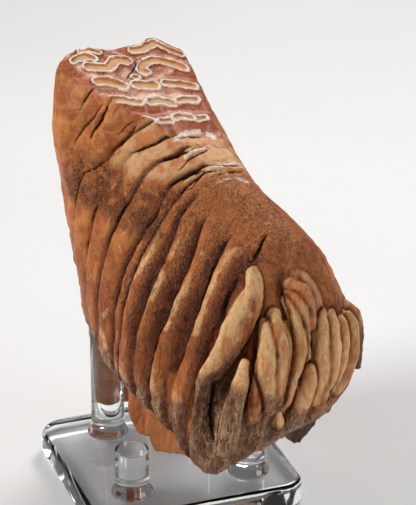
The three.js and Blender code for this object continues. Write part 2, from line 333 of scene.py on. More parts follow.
@dataclass(frozen=True)
class WornPlane:
    """The worn chewing surface, which rises towards the front end."""

    at_y: float = 38.0
    at_z: float = 145.8
    rise: float = 0.268
    back_end: float = -24.0

    def height(self, y: Points) -> Points:
        """Return the plane's height at each place along the tooth."""
        return self.at_z + self.rise * (y - self.at_y)


@dataclass(frozen=True)
class Crown:
    """The plates of the crown as one ridged body."""

    # How deep the grooves are at each outline point, in front and behind.
    front_depths: Row = (0.4, 1.5, 2.2, 2.6, 3.0, 2.4, 1.5, 2.4, 3.2, 3.4, 3.0, 2)
    hind_depths: Row = (0.2, 1.6, 5.2, 7.0, 7.0, 4.6, 1.5, 2.4, 3.6, 4, 2.4, 0.5)
    # Stations along y, each with its outline as x, z pairs from the crest down the left side.
    stations: tuple[tuple[float, Row], ...] = (
        (96, (-14, 167, -18, 157, -33, 128, -38, 95, -34, 62, -26, 42,
         -14, 36, -2, 42, 4, 62, 6, 95, 3, 128, -10, 157)),
        (89, (-17, 172, -28, 160, -55, 130, -56, 92, -46, 52, -35, 20,
         -12, 14, 8, 20, 16, 52, 18, 95, 12, 130, -2, 162)),
        (84, (-28, 172, -58, 162, -67, 130, -59, 90, -45, 50, -32, 15,
         -10, 8, 12, 15, 22, 50, 22, 95, 13, 130, 0, 160)),
        (74, (-32, 172, -71, 158, -73, 128, -62, 88, -48, 50, -34, 12,
         -10, 4, 14, 12, 24, 50, 23, 92, 13, 128, 1, 158)),
        (58, (-28, 164, -64, 150, -73, 122, -65, 86, -51, 46, -34, 9,
         -8, 0, 20, 8, 30, 46, 29, 88, 17, 124, 2, 152)),
        (38, (-22, 158, -49, 140, -62, 108, -63, 82, -56, 45, -38, 6,
         -6, -2, 28, 5, 38, 45, 37, 84, 23, 118, 5, 144)),
        (25, (-15, 150, -38, 133, -51, 105, -57, 76, -54, 42, -38, 3,
         -4, -4, 34, 4, 44, 44, 43, 82, 28, 112, 7, 139)),
        (12, (-9, 146, -31, 128, -44, 101, -51, 72, -50, 38, -39, 0,
         0, -6, 40, 3, 50, 42, 49, 76, 33, 106, 9, 135)),
        (-1, (-2, 141, -24, 124, -36, 96, -43, 62, -43, 30, -34, -3,
         4, -10, 44, 2, 56, 38, 56, 70, 39, 100, 13, 130)),
        (-16, (4, 136, -18, 121, -29, 90, -37, 58, -39, 35, -28, -6,
         8, -14, 48, 0, 62, 34, 64, 64, 45, 96, 18, 124)),
        (-26, (8, 130, -13, 114, -21, 84, -28, 56, -31, 26, -20, -11,
         12, -16, 50, -1, 66, 30, 69, 58, 50, 90, 25, 121)),
        (-39, (12, 122, -4, 107, -13, 80, -18, 54, -22, 15, -11, -18,
         16, -16, 52, 0, 70, 26, 74, 52, 57, 88, 33, 117)),
        (-52, (17, 112, -3, 98, -11, 74, -16, 46, -17, 8, -8, -22,
         20, -14, 52, 2, 73, 24, 77, 46, 64, 78, 42, 106)),
        (-60, (20, 96, 4, 88, -6, 64, -12, 38, -13, 2, -5, -22,
         16, -14, 48, 3, 68, 18, 73, 40, 61, 68, 45, 92)),
        (-68, (24, 76, 9, 70, 0, 50, -5, 28, -8, -2, -1, -20,
         12, -13, 38, 3, 54, 14, 56, 32, 46, 54, 38, 68)),
        (-74, (20, 42, 12, 40, 5, 30, 2, 14, 0, -2, 1, -16,
         10, -10, 24, 2, 36, 12, 38, 22, 34, 32, 28, 40)),
    )
    grooves: tuple[Groove, ...] = (
        Groove(77.5, 0.25),
        Groove(64.5, 0.45),
        Groove(51.5, 0.8, ((150, 45), (130, 47.5), (118, 48), (95, 50), (60, 52))),
        Groove(38.3, 1.1, ((145, 28), (135, 30.5), (124, 32), (117, 32.5), (111, 35), (106, 39),
            (98, 39.5), (78, 40.5), (51, 43))),
        Groove(25.3, 1.1, ((141, 20), (134, 20), (130, 22.5), (126, 25.5), (107, 26), (92, 27),
            (57, 27))),
        Groove(12.3, 1.2, ((138, 9), (133, 8.5), (127, 12.5), (121, 14), (100, 13), (58, 14))),
        Groove(-0.7, 1.2, ((135, -5), (127, -3), (119, 0), (113, 0), (101, -2.5), (93, 0), (57, 1))),
        Groove(-8, 0.7, ((134, -9), (131, -8), (119, -7.5), (104, -6.5), (88, -5), (57, -4))),
        Groove(-16, 1.0, ((121, -15), (110, -14), (96, -15), (49, -16))),
        Groove(-26, 1.15, ((110, -25), (60, -25.5))),
        Groove(-38, 1.3, ((104, -37), (60, -37.5))),
        Groove(-50, 0.9, ((114, -48), (109, -50), (104, -52), (93, -54))),
    )
    worn: WornPlane = WornPlane()
    ring_pitch: float = 0.9
    span_steps: int = 20
    # How flat the plates are between their grooves, in front and behind.
    front_power: float = 4.2
    hind_power: float = 2.6
    crest_shift: float = 0.75
    wander: float = 0.9
    # Where the grooves begin below the hind part's top, as y and z.
    groove_tops: tuple[Row, ...] = ((-52, 110), (-37, 109), (-25, 113), (-15, 122), (-5, 142))

    def keys_at(self, y: float) -> Points:
        """Find the crown's outline.

        Args:
            y: The place along the tooth.

        Returns:
            The twelve outline points (x, z) there.
        """
        ys = np.array([s[0] for s in self.stations])
        outlines = np.array([s[1] for s in self.stations], float).reshape(len(ys), -1, 2)
        i = int(np.clip(np.searchsorted(-ys, -y), 1, len(ys) - 1))
        a, b = i - 1, i
        before, after = max(a - 1, 0), min(b + 1, len(ys) - 1)
        span = ys[b] - ys[a]
        start = (outlines[b] - outlines[before]) / (ys[b] - ys[before]) * span
        end = (outlines[after] - outlines[a]) / (ys[after] - ys[a]) * span
        return eased((y - ys[a]) / span, outlines[a], start, outlines[b], end)

    def openness(self, points: Points) -> Points:
        """Find where the grooves are open.

        Args:
            points: (n, 3), in the tooth's frame.

        Returns:
            How open the grooves are at each point, from 0 to 1.
        """
        y, top = np.array(self.groove_tops).T
        below = np.interp(points[:, 1], y, top) - points[:, 2]
        return np.maximum(ramp(below, -4, 9), ramp(points[:, 1], -12, -2))

    def groove_share(self, points: Points) -> tuple[Points, Points, Points]:
        """Find where points lie on their plate.

        Args:
            points: (n, 3), in the tooth's frame.

        Returns:
            Three arrays of n numbers: 0 on a plate's crest to 1 in a groove, the groove's depth, and
            the way from the plate's front groove, 0, to its hind one, 1.
        """
        bent = Noise(11).at(points * np.array([0.4, 0.4, 1.0]), 22.0, 2)
        y = points[:, 1] + self.wander * bent
        courses = np.array([groove.y_at(points[:, 2]) for groove in self.grooves])
        depths = np.array([groove.depth for groove in self.grooves])
        passed = (courses >= y).sum(axis=0)
        column = np.arange(len(y))
        front = np.where(passed > 0, courses[np.maximum(passed - 1, 0), column], 110.0)
        back = np.where(passed < len(depths), courses[np.minimum(passed, len(depths) - 1), column], -84.0)
        phase = np.clip((front - y) / np.maximum(front - back, 0.5), 0, 1)
        nearest = np.where(phase < 0.5, np.maximum(passed - 1, 0), np.minimum(passed, len(depths) - 1))
        return np.abs(2 * phase**self.crest_shift - 1), depths[nearest], phase

    def shell(self) -> Shell:
        """Loft the ridged body and bring its top down to the worn plane.

        Returns:
            The shell.
        """
        front, back = self.stations[0][0], self.stations[-1][0]
        rings = []
        for y in np.arange(front, back, -self.ring_pitch):
            keys = self.keys_at(float(y))
            ring = curve_through(keys, self.span_steps, True)
            hind = float(ramp(np.array([y]), -5, -15)[0])
            depths = np.array(self.front_depths) * (1 - hind) + np.array(self.hind_depths) * hind
            depth = np.interp(np.arange(len(ring)) / self.span_steps, np.arange(13), [*depths, depths[0]])
            points = np.column_stack([ring[:, 0], np.full(len(ring), y), ring[:, 1]])
            share, strength, _ = self.groove_share(points)
            strength = strength * (0.25 + 0.75 * self.openness(points))
            fade = ramp(np.array([front - y]), 4, 12) * ramp(np.array([y - back]), 1, 8)
            inward = np.append(keys.mean(axis=0), 0)[[0, 2, 1]] - points * np.array([1, 0, 1])
            inward /= np.linalg.norm(inward, axis=1)[:, None]
            power = self.front_power * (1 - hind) + self.hind_power * hind
            points += inward * (depth * strength * share**power * fade)[:, None]
            if y > self.worn.back_end:
                points[:, 2] = np.minimum(points[:, 2], self.worn.height(points[:, 1]))
            rings.append(points)
        return skin(rings)

    def outside(self, points: Points, below: float, slice_width: float = 2.5) -> Points:
        """Measure how far points stand off the smooth crown.

        Args:
            points: (n, 3), in the tooth's frame.
            below: Points higher than this are taken to be on the crown.
            slice_width: The thickness of the slices the measure is made in.

        Returns:
            An array of n distances.
        """
        off = np.zeros(len(points))
        low = points[:, 2] < below
        place = np.round(points[:, 1] / slice_width)
        for cut in np.unique(place[low]):
            chosen = low & (place == cut)
            y = float(np.clip(cut * slice_width, self.stations[-1][0], self.stations[0][0]))
            ring = curve_through(self.keys_at(y), 6, True)
            off[chosen] = nearest_on_line(points[chosen][:, [0, 2]], np.vstack([ring, ring[:1]]))[0]
        return off


@dataclass(frozen=True)
class Finger:
    """A free finger-like end of a plate.

    It has its flatness, how brown it is, the height that it is weathered grey below, and its
    points x, y, z and radius from the tip.
    """

    flat: float
    brown: float
    grey_below: float
    points: tuple[Row, ...]
    cluster: int = 0
    sides: int = 22
    steps: int = 7
    tip: tuple[Row, ...] = ((0.62, 0.12), (0.56, 0.45), (0.42, 0.7), (0.22, 0.88))

    def line(self) -> Points:
        """Return the finger's middle line with its radius, as an (n, 4) array."""
        return curve_through(np.array(self.points, float), self.steps, False)

    def shell(self) -> Shell:
        """Loft the finger round its line, with a round tip.

        Returns:
            The shell.
        """
        line = self.line()
        along = np.gradient(line[:, :3], axis=0)
        along /= np.linalg.norm(along, axis=1)[:, None]
        rings = []
        for reach, share in self.tip:
            radius = line[0, 3]
            rings.append(self._ring(line[0, :3] - along[0] * reach * radius, along[0], radius * share))
        for row, direction in zip(line, along):
            rings.append(self._ring(row[:3], direction, row[3]))
        return skin(rings)

    def _ring(self, centre: Points, direction: Points, radius: float) -> Points:
        """Make one ring round the line.

        Args:
            centre: Its middle.
            direction: Which way the line runs there.
            radius: Half its width.

        Returns:
            Its points.
        """
        angle = np.arange(self.sides) * 2 * math.pi / self.sides
        side = np.array([1.0, 0, 0]) - direction[0] * direction
        side /= np.linalg.norm(side)
        out = np.cross(direction, side)
        return (centre + radius * np.cos(angle)[:, None] * side
                + radius * self.flat * np.sin(angle)[:, None] * out)


def finger_set() -> tuple[Finger, ...]:
    """Shape the free fingers of the hindmost plates.

    Returns:
        The fingers, the big left one first.
    """
    rows = (
        (0.52, 0.12, 50, ((4, -55, 98, 2.2), (4, -59, 93, 4), (1.5, -63, 85, 6.6), (-2.5, -66, 75, 8),
            (-6, -67, 63, 7.5), (-10, -66, 50, 6.5), (-14, -65, 37, 5), (-15, -64, 25, 4.5),
            (-12, -65, 9, 4.5), (-7, -67, -7, 4.5))),
        (0.8, 0.05, 44, ((2, -74, 55, 2.5), (0, -77, 50, 3.5), (0, -78, 41, 5), (-1, -78, 28, 5.5),
            (0, -77, 14, 6), (1, -76, -1, 5.5))),
        (0.8, 0.12, 35, ((11, -69, 75, 2.5), (12, -72, 69, 4.2), (12.5, -75, 60, 5.4), (14.5, -76, 49, 5.6),
            (18, -76, 37, 4.6), (23, -75, 23, 3.4))),
        (0.85, 0.3, 33, ((16, -67, 79, 2.5), (17, -71, 75, 3.4), (19.5, -74, 66, 4.2),
            (21.5, -75.5, 53, 4.6), (23.5, -75, 40, 4.2), (24, -75, 24, 3.2))),
        (0.85, 0.2, 33, ((24, -67, 72, 1.5), (25, -71, 66, 2.6), (26.5, -73, 56, 3.2), (27, -74, 44, 3.4),
            (27.5, -74, 31, 3))),
        (0.6, 1.0, 2, ((8, -75, 47, 1.5), (10, -76, 39, 3.0), (12.5, -75.5, 30, 3.7), (15, -72.5, 21, 3.2),
            (16, -66, 12, 2.5))),
        (0.8, 0.6, 20, ((24, -54, 99, 1.5), (30, -57.5, 97, 2.5), (37, -60, 90, 2.5), (41, -62, 82, 2.5),
            (42, -64, 71, 2))),
        (0.85, 0.5, 20, ((25, -58, 93, 2.5), (30, -62, 93, 3), (35, -64, 87, 3), (37, -67, 80, 2.5),
            (38, -69, 71, 2.5))),
        (0.85, 0.45, 20, ((25, -61, 88, 2), (28, -65, 87, 2.5), (32, -68, 81, 3), (36, -70, 72, 2.5),
            (38, -71, 62, 2.5), (38, -72, 51, 2.5))),
        (0.85, 0.3, 20, ((23, -63, 86, 1.5), (26, -67, 82, 2.5), (29, -70, 74, 3), (32, -72, 65, 3.5),
            (32, -74, 55, 3.5), (31, -75, 43, 3.5), (31, -74.5, 31, 3),
            (30, -70, 21, 2))),
        (0.8, 0.08, 24, ((44, -64, 78, 2), (45, -67, 72, 3.2), (46.5, -70, 62, 4.2), (48, -72, 51, 5),
            (49, -72, 40, 4.6), (47, -72.5, 26, 3.6))),
        (0.8, 0.1, 24, ((51, -63, 76, 2), (52, -66, 71, 3.2), (53, -69, 62, 4.6), (54.5, -70.5, 51, 5),
            (53.5, -71, 39, 4), (50, -72, 28, 3))),
        (0.8, 0.15, 24, ((59, -61, 72, 1.5), (60, -64, 67, 2.8), (60.5, -66, 58, 3.8),
            (60.5, -67.5, 49, 3.8), (58, -69, 39, 3.2))),
        (0.8, 0.4, 24, ((63, -58, 74, 1.5), (67, -60, 68, 2.5), (69, -62, 60, 2.5), (71, -62, 48, 2.5),
            (69, -63, 37, 2.5), (64, -64, 27, 3))),
        (0.8, 0.85, 24, ((63, -52, 77, 1.5), (69, -55, 73, 2), (73, -57, 63, 2), (76, -57, 50, 2),
            (78, -56, 38, 2))),
        (0.8, 0.0, 27, ((40, -74, 51, 2.5), (40, -76, 45, 4), (40, -76, 36, 5), (39, -76, 27, 4.5),
            (37, -75, 16, 4))),
        (0.9, 0.1, 14, ((27, -76, 23, 1.2), (28.5, -76, 18.5, 2.0), (29.5, -74, 13, 2.0))),
        (0.9, 0.7, 20, ((57, -67, 28, 1.5), (54, -70, 23, 3), (48, -72, 17, 3.5))),
    )
    clusters = (0, 1, 2, 2, 2, 3, 4, 4, 4, 4, 5, 5, 5, 6, 7, 8, 9, 10)
    return tuple(Finger(*row, cluster) for row, cluster in zip(rows, clusters))


# The fingers are looked for behind the first and below the second.
FINGER_REACH = -46
FINGER_TOP = 108


@dataclass(frozen=True)
class FingerRead:
    """What the fingers make of some points: one number for each."""

    share: Points
    seam: Points
    crease: Points
    edge: Points
    beside: Points
    brown: Points
    grey: Points


def read_fingers(fingers: tuple[Finger, ...], points: Points) -> FingerRead:
    """Find which finger points belong to, and the seams between fingers.

    Args:
        fingers: The fingers.
        points: (n, 3), in the tooth's frame.

    Returns:
        How much a point is on a finger, how near a seam between clusters or a crease inside one, how
        near its finger's edge or just beside it, and how brown and how grey its finger is there.
    """
    count = len(points)
    near = np.flatnonzero((points[:, 1] < FINGER_REACH) & (points[:, 2] < FINGER_TOP))
    chosen = points[near]
    gaps = np.empty((len(fingers), len(chosen)))
    for row, finger in enumerate(fingers):
        line = finger.line()[::3]
        squash = np.array([1, 1 / finger.flat, 1])
        reach = np.full(len(chosen), np.inf)
        for a, b in zip(line[:-1], line[1:]):
            along = (b[:3] - a[:3]) * squash
            offset = (chosen - a[:3]) * squash
            t = np.clip(offset @ along / (along @ along), 0, 1)
            gap = np.linalg.norm(offset - t[:, None] * along, axis=1)
            reach = np.minimum(reach, gap - (a[3] + (b[3] - a[3]) * t))
        gaps[row] = reach
    order = np.argsort(gaps, axis=0)
    first = np.take_along_axis(gaps, order[:1], axis=0)[0]
    second = np.take_along_axis(gaps, order[1:2], axis=0)[0]
    owner = order[0]
    clusters = np.array([finger.cluster for finger in fingers])
    apart = (clusters[owner] != clusters[order[1]]).astype(float)
    gap_width = 0.9 + 0.7 * apart
    between = bell(second - first, gap_width) * ramp(second, 1.5 + gap_width, 0.9)
    on = ramp(first, 2.2, 1.3)
    brown = np.array([finger.brown for finger in fingers])[owner]
    limit = np.array([finger.grey_below for finger in fingers])[owner]
    limit = limit + np.where(owner == 0, 1.3 * np.clip(chosen[:, 0] + 9, -8, 10), 0)
    limit = limit + 4.0 * Noise(131).at(chosen, 5.0, 2, 0.4)
    results = []
    for values in (
        on,
        np.maximum(between * apart, 0.45 * bell(first - 2.1, 0.6)),
        between * (1 - apart),
        np.maximum(bell(second - first, 2.0) * ramp(second, 4.5, 1.5), ramp(first, 0.6, 2.2)),
        ramp(first, 1.4, 2.2) * ramp(first, 5.5, 3.0),
        brown,
        ramp(chosen[:, 2], limit + 8, limit - 7) * on,
    ):
        full = np.zeros(count)
        full[near] = values
        results.append(full)
    return FingerRead(*results)


@dataclass(frozen=True)
class RootWall:
    """The thin root wall under the crown: points round it as x, y, foot and lean."""

    top: float = 26.0
    hub: Row = (14.0, 2.0, -2.0)
    thickness: float = 7.0
    ragged: float = 1.6
    steps: int = 10
    span_steps: int = 9
    rim: tuple[Row, ...] = (
        (-18, 72, 6, 2), (-32, 52, 5, 3), (-34, 30, 0, 6), (-33, 12, -6, 8), (-31, 4, -34, 10),
        (-24, -4, -39, 11), (-27, -12, -29, 11), (-20, -20, -41, 11), (-13, -28, -37, 8),
        (-5, -39, -32, 6), (8, -50, -27, 4), (22, -54, -26, 3), (35, -52, -21, 3), (49, -48, -13, 3),
        (60, -46, -18, 1.5), (67, -43, -15, 1.5), (72, -39, -8, 2), (70, -30, -6, 4), (60, -20, -12, 5),
        (48, 2, -12, 6), (38, 24, -6, 5), (29, 46, 0, 4), (12, 70, 6, 2),
    )

    def shell(self) -> Shell:
        """Loft the wall down to its uneven foot and back up inside to the hub.

        Returns:
            The shell.
        """
        rim = np.array(self.rim, float)
        hub = np.array(self.hub)
        tops = np.column_stack([rim[:, 0], rim[:, 1], np.full(len(rim), self.top)])
        inward = np.column_stack([hub[0] - rim[:, 0], hub[1] - rim[:, 1], np.zeros(len(rim))])
        inward /= np.linalg.norm(inward, axis=1)[:, None]
        feet = rim[:, :3] + inward * rim[:, 3:]
        upper = curve_through(tops, self.span_steps, True)
        lower = curve_through(feet, self.span_steps, True)
        lower[:, 2] += self.ragged * Noise(5).at(lower, 5.0, 2)
        rings = [upper + (lower - upper) * i / self.steps for i in range(self.steps + 1)]
        inner = (hub - lower) * np.array([1, 1, 0])
        inner = lower + inner / np.linalg.norm(inner, axis=1)[:, None] * self.thickness
        inner[:, 2] = lower[:, 2] + 3
        middle = inner + (hub - inner) * 0.5
        middle[:, 2] = hub[2]
        return skin([*rings, inner, middle])


@dataclass(frozen=True)
class RootLobe:
    """The deep root lobe behind the rear pegs: sections as x, y, z, half width and half thickness."""

    sections: tuple[Row, ...] = (
        (-6, 69, 22, 23, 7), (-6, 68.3, 0, 25, 6.3), (-4, 66.8, -20, 23.5, 5.3),
        (-1.5, 65.2, -40, 20.5, 4.3), (0, 64, -57, 18.5, 3.2),
    )
    count: int = 72
    boxiness: float = 0.7
    waver: float = 0.04

    def shell(self) -> Shell:
        """Loft the thin tapering tongue, its edges wavering a little.

        Returns:
            The shell.
        """
        angle = np.arange(self.count) * 2 * math.pi / self.count
        across, along = (np.sign(v) * np.abs(v) ** self.boxiness for v in (np.cos(angle), np.sin(angle)))
        rings = []
        for x, y, z, half_width, half_thickness in curve_through(np.array(self.sections, float), 8, False):
            waver = 1 + self.waver * Noise(83).at(np.array([[x, y, z]]), 9.0)[0]
            rings.append(np.column_stack([
                x + half_width * waver * across, y + half_thickness * along, np.full(self.count, z)]))
        return skin(rings)


# ---------- marks on the tooth ----------
# The way into the near left side, and how much of the depth along it counts for a mark's place.
INTO_SIDE = np.array([0.377, 0.804, -0.461])
KEPT_DEPTH = 0.2


def flattened(points: Points) -> Points:
    """Return points squashed along the way into the near left side."""
    return points - (1 - KEPT_DEPTH) * (points @ INTO_SIDE)[:, None] * INTO_SIDE


def wandered(points: Points, reach: float) -> Points:
    """Return points moved about a little, so that lines measured from them wander."""
    moves = [Noise(seed).at(points, 3.5, 2) for seed in (101, 103, 107)]
    return points + reach * np.column_stack(moves)


@dataclass(frozen=True)
class EnamelLoop:
    """An enamel loop on the worn face: its middle line as x, y points, and its half width."""

    line: tuple[Row, ...]
    half_width: float = 2.9

    def edge_distance(self, flat_points: Points) -> Points:
        """Measure how far points are outside the loop's edge.

        Args:
            flat_points: An (n, 2) array of x and y.

        Returns:
            An array of n distances, less than 0 inside.
        """
        line = np.array(self.line, float)
        for end, inner in ((0, 1), (-1, -2)):
            inward = line[inner] - line[end]
            length = float(np.linalg.norm(inward))
            line[end] += inward / length * min(self.half_width * 0.3, length * 0.5)
        return nearest_on_line(flat_points, curve_through(line, 5, False))[0] - self.half_width


def enamel_loops() -> tuple[EnamelLoop, ...]:
    """Return the loops of the worn face, from the front row back."""
    rows = (
        (((-29, 84.5), (-23, 86), (-18, 89), (-13, 91.5)), 2.6),
        (((-12, 91), (-9, 87.5), (-5, 84.5), (0, 82)), 1.7),
        (((-60, 83), (-55, 84), (-49, 82)), 1.4),
        (((-62, 76.5), (-58, 78.5), (-53, 77)), 2.4),
        (((-66, 74), (-63, 77)), 1.4),
        (((-59, 70.5), (-53, 70), (-47, 70), (-44.5, 72.5), (-42, 75.5), (-38, 76.5),
            (-34, 75.5)), 2.9),
        (((-25, 67), (-28, 68.5), (-26.5, 72.5), (-21.5, 76), (-17, 77), (-11, 75.5), (-6, 73.5),
            (-1.5, 71)), 2.6),
        (((-57, 59), (-52, 59), (-46, 57.5), (-41, 55)), 2.7),
        (((-34, 63), (-31.5, 63)), 1.3),
        (((-35, 57), (-29, 56.5), (-23, 56.5)), 2.9),
        (((-17.5, 59), (-14, 58.3), (-8, 58), (0, 56.5)), 2.2),
        (((-53, 44.5), (-47, 45), (-41, 44), (-35.5, 43)), 2.4),
        (((-30, 44), (-25, 45), (-20, 44), (-17, 43)), 2.7),
        (((-13, 45), (-9, 46), (-2, 46)), 2.3),
        (((-41, 29.5), (-36.5, 30), (-32, 28.5)), 1.8),
        (((-28, 29), (-25, 29), (-21.5, 30)), 1.9),
        (((-19, 32), (-14, 33), (-9, 32)), 2.1),
        (((-6, 31), (-1, 32)), 1.8),
    )
    return tuple(EnamelLoop(*row) for row in rows)


@dataclass(frozen=True)
class Crack:
    """A crack in the surface: its course in the tooth's frame, its width, depth and darkness."""

    line: tuple[Row, ...]
    width: float = 0.7
    depth: float = 1.2
    dark: float = 1.0

    def reach(self, points: Points) -> tuple[Points, Points]:
        """Measure how far points are from the crack.

        Args:
            points: (n, 3), in the tooth's frame.

        Returns:
            How far each is, with 99 for all that are far, and how open the crack is there.
        """
        line = curve_through(np.array(self.line, float), 4, False)
        middle = line.mean(axis=0)
        size = float(np.abs(line - middle).max()) + 6 * self.width + 6
        near = np.abs(points - middle).max(axis=1) < size
        off = np.full(len(points), 99.0)
        open_share = np.ones(len(points))
        off[near], along = nearest_on_line(flattened(wandered(points[near], 0.9)), flattened(line))
        open_share[near] = np.clip(4 * along * (1 - along), 0.02, 1) ** 0.45
        return off, open_share

    def share(self, points: Points) -> Points:
        """Return how much of the crack each point has, from 0 to 1."""
        off, open_share = self.reach(points)
        return bell(off, self.width) * open_share

    def dark_share(self, points: Points) -> Points:
        """Return how near the crack's dark core each point is: over 0.5 inside it."""
        off, open_share = self.reach(points)
        return np.clip(1 - off / ((0.55 + 0.75 * self.width) * open_share), 0, 1) * self.dark


def crack_set() -> tuple[Crack, ...]:
    """Return the cracks that don't run in a groove."""
    rows = (
        (((-59, 54, 150), (-62, 54, 144), (-64, 54, 139), (-65, 53, 136)), 0.6, 1.2),
        (((-53, 43, 149), (-53, 44, 143), (-55, 43, 139), (-57, 43, 134), (-59, 43, 130),
            (-60, 43, 124)), 0.9, 2.0),
        (((-55, 47, 144), (-59, 46, 137), (-63, 47, 130), (-67, 48, 118)), 0.5, 0.7, 0.8),
        (((-40.5, 28, 145), (-41, 31, 138), (-43, 31, 135), (-45, 31, 131), (-48, 31, 127),
            (-50, 32, 124), (-53, 32, 118)), 0.8, 1.8),
        (((-41, 31, 143), (-44, 34, 138), (-47, 34, 134), (-49, 34, 131)), 0.5, 0.6, 0.8),
        (((-20, 20, 141), (-27, 19, 138), (-32, 20, 134), (-36, 22, 131), (-42, 27, 123)), 0.7, 1.2),
        (((-2, 20, 141), (-10, 18, 140), (-20, 17, 139), (-28, 20, 138)), 0.6, 0.8, 0.8),
        (((-7, 11, 138), (-16, 8, 137), (-23, 8, 133), (-29, 13, 126)), 0.7, 1.2),
        (((-6, 7, 137), (-15, 3, 136), (-19, 3, 133), (-24, 3, 126)), 0.5, 0.8, 0.9),
        (((-9, -6, 134), (-19, -3, 127), (-24, 0, 119)), 0.7, 1.1),
        (((-9, -8, 133), (-13, -7, 131), (-18, -8, 123), (-22, -7, 120)), 0.7, 1.3),
        (((12, -1, 131), (2, -9, 133), (-8, -11, 132)), 0.5, 0.6, 0.8),
        (((-25, 79, 156), (-29, 74, 155), (-34, 67, 153), (-38, 62, 152), (-40, 60, 151)),
            0.6, 0.8, 0.9),
        (((12, -46, 116), (9, -48, 112), (7, -50, 108), (5, -51, 105), (4, -53, 103.5)),
            1.1, 3.0, 0.95),
        (((8, -72, 48), (8, -73, 39), (7, -74, 31), (8, -74, 23), (8, -74, 12)), 1.7, 2.6),
        (((-10, -68, 43), (-8, -64, 34), (-8, -65, 26), (-8, -67, 17), (-6, -69, 9), (-4, -71, 2)),
            2.0, 2.6, 0.95),
        (((-19, -64, 34), (-19, -65, 26), (-16, -60, 11), (-14, -57, 3)), 1.5, 2.2, 0.95),
        (((20, -60, 94), (21, -62, 90), (22, -65, 85), (24, -67, 81), (26, -68, 73)),
            1.2, 2.4, 0.8),
        (((38, -71, 72), (39, -73, 63), (40, -73, 57)), 1.1, 1.8),
        (((-9, -56, 68), (-12, -56, 54), (-13, -57, 45), (-14, -56, 30), (-14, -54, 18)),
            1.4, 2.0, 0.9),
        (((-26, -16, 89), (-27, -17, 82), (-27, -18, 77)), 0.5, 0.7, 0.9),
        (((-24, -30, 62), (-26, -30, 58), (-28, -27, 60)), 0.5, 0.7, 0.9),
        (((-33, -12, 62), (-31, -17, 58), (-29, -20, 60)), 0.5, 0.6, 0.9),
        (((-22, -37, 56), (-20, -40, 47), (-21, -38, 38)), 0.5, 0.7, 0.9),
    )
    return tuple(Crack(*row) for row in rows)


def hollow_set() -> tuple[Crack, ...]:
    """Return the broad dark hollows between the fingers."""
    rows = (
        (((21, -57, 102), (19, -60, 96), (19, -61, 92), (20, -64, 87), (22, -66, 82),
            (24, -67, 77), (26, -69, 70)), 3.4, 2.2),
        (((5, -66, 74), (9, -68, 76), (12, -67, 78), (15, -66, 82)), 2.6, 2.0),
        (((6, -66, 70), (4, -67, 63), (2, -68, 57), (0, -68, 49), (-2, -68, 41), (-4, -69, 33),
            (-6, -72, 24)), 4.2, 1.2, 0.9),
        (((8, -67, 74), (8, -69, 62), (9, -71, 54), (10, -72, 44)), 1.8, 1.6),
        (((27, -70, 68), (28, -73, 61), (28, -74, 54), (28, -75, 47), (28, -76, 39),
            (27, -76, 30)), 1.3, 1.4),
        (((38, -71, 75), (42, -68, 63), (43, -68, 57), (43, -69, 50)), 2.0, 2.0),
    )
    return tuple(Crack(*row) for row in rows)


@dataclass(frozen=True)
class Frill:
    """A crinkled strip of bare enamel on a plate's top."""

    line: tuple[Row, ...]
    width: float = 0.8

    def share(self, points: Points) -> Points:
        """Return how much of the strip each point has, from 0 to 1."""
        line = curve_through(np.array(self.line, float), 4, False)
        return bell(nearest_on_line(flattened(wandered(points, 0.8)), flattened(line))[0], self.width)


def frill_set() -> tuple[Frill, ...]:
    """Return the enamel strips of the plates behind the loops."""
    rows = (
        (((-23, 16, 139), (-17, 19, 141), (-11, 22, 141), (-5, 21, 141), (0, 18, 140)), 1.9),
        (((-20, 5, 134), (-17, 6, 137), (-11, 8, 138), (-6, 10, 138), (-3, 10, 138)), 1.4),
        (((-11, -7, 133), (-6, -5, 134), (0, -4, 135), (6, -4, 135), (12, -6, 134)), 1.3),
        (((-8, -15, 129), (-3, -15, 132), (3, -14, 132), (9, -17, 131)), 0.9),
    )
    return tuple(Frill(*row) for row in rows)


@dataclass(frozen=True)
class Patch:
    """A cream streak along a crest, worn cream where it is wide and a painted highlight under 1 mm wide:
    its course, its width and how strong it is.
    """

    line: tuple[Row, ...]
    width: float = 1.6
    strength: float = 1.0

    def share(self, points: Points) -> Points:
        """Find how much of the streak points have.

        Args:
            points: (n, 3), in the tooth's frame.

        Returns:
            Each point's share, over 0.5 inside it.
        """
        line = curve_through(np.array(self.line, float), 3, False)
        middle = line.mean(axis=0)
        reach = float(np.abs(line - middle).max()) + 3 * self.width + 6
        near = np.abs(points - middle).max(axis=1) < reach
        result = np.zeros(len(points))
        off = nearest_on_line(flattened(wandered(points[near], 1.0)), flattened(line))[0]
        result[near] = np.clip(1 - off / (2 * self.width), 0, 1) * self.strength
        # Thin streaks are painted highlights, broken into pieces.
        if self.width < 1:
            result[near] *= ramp(Noise(109).at(points[near], 4.5, 2), -0.3, 0.05)
        return result


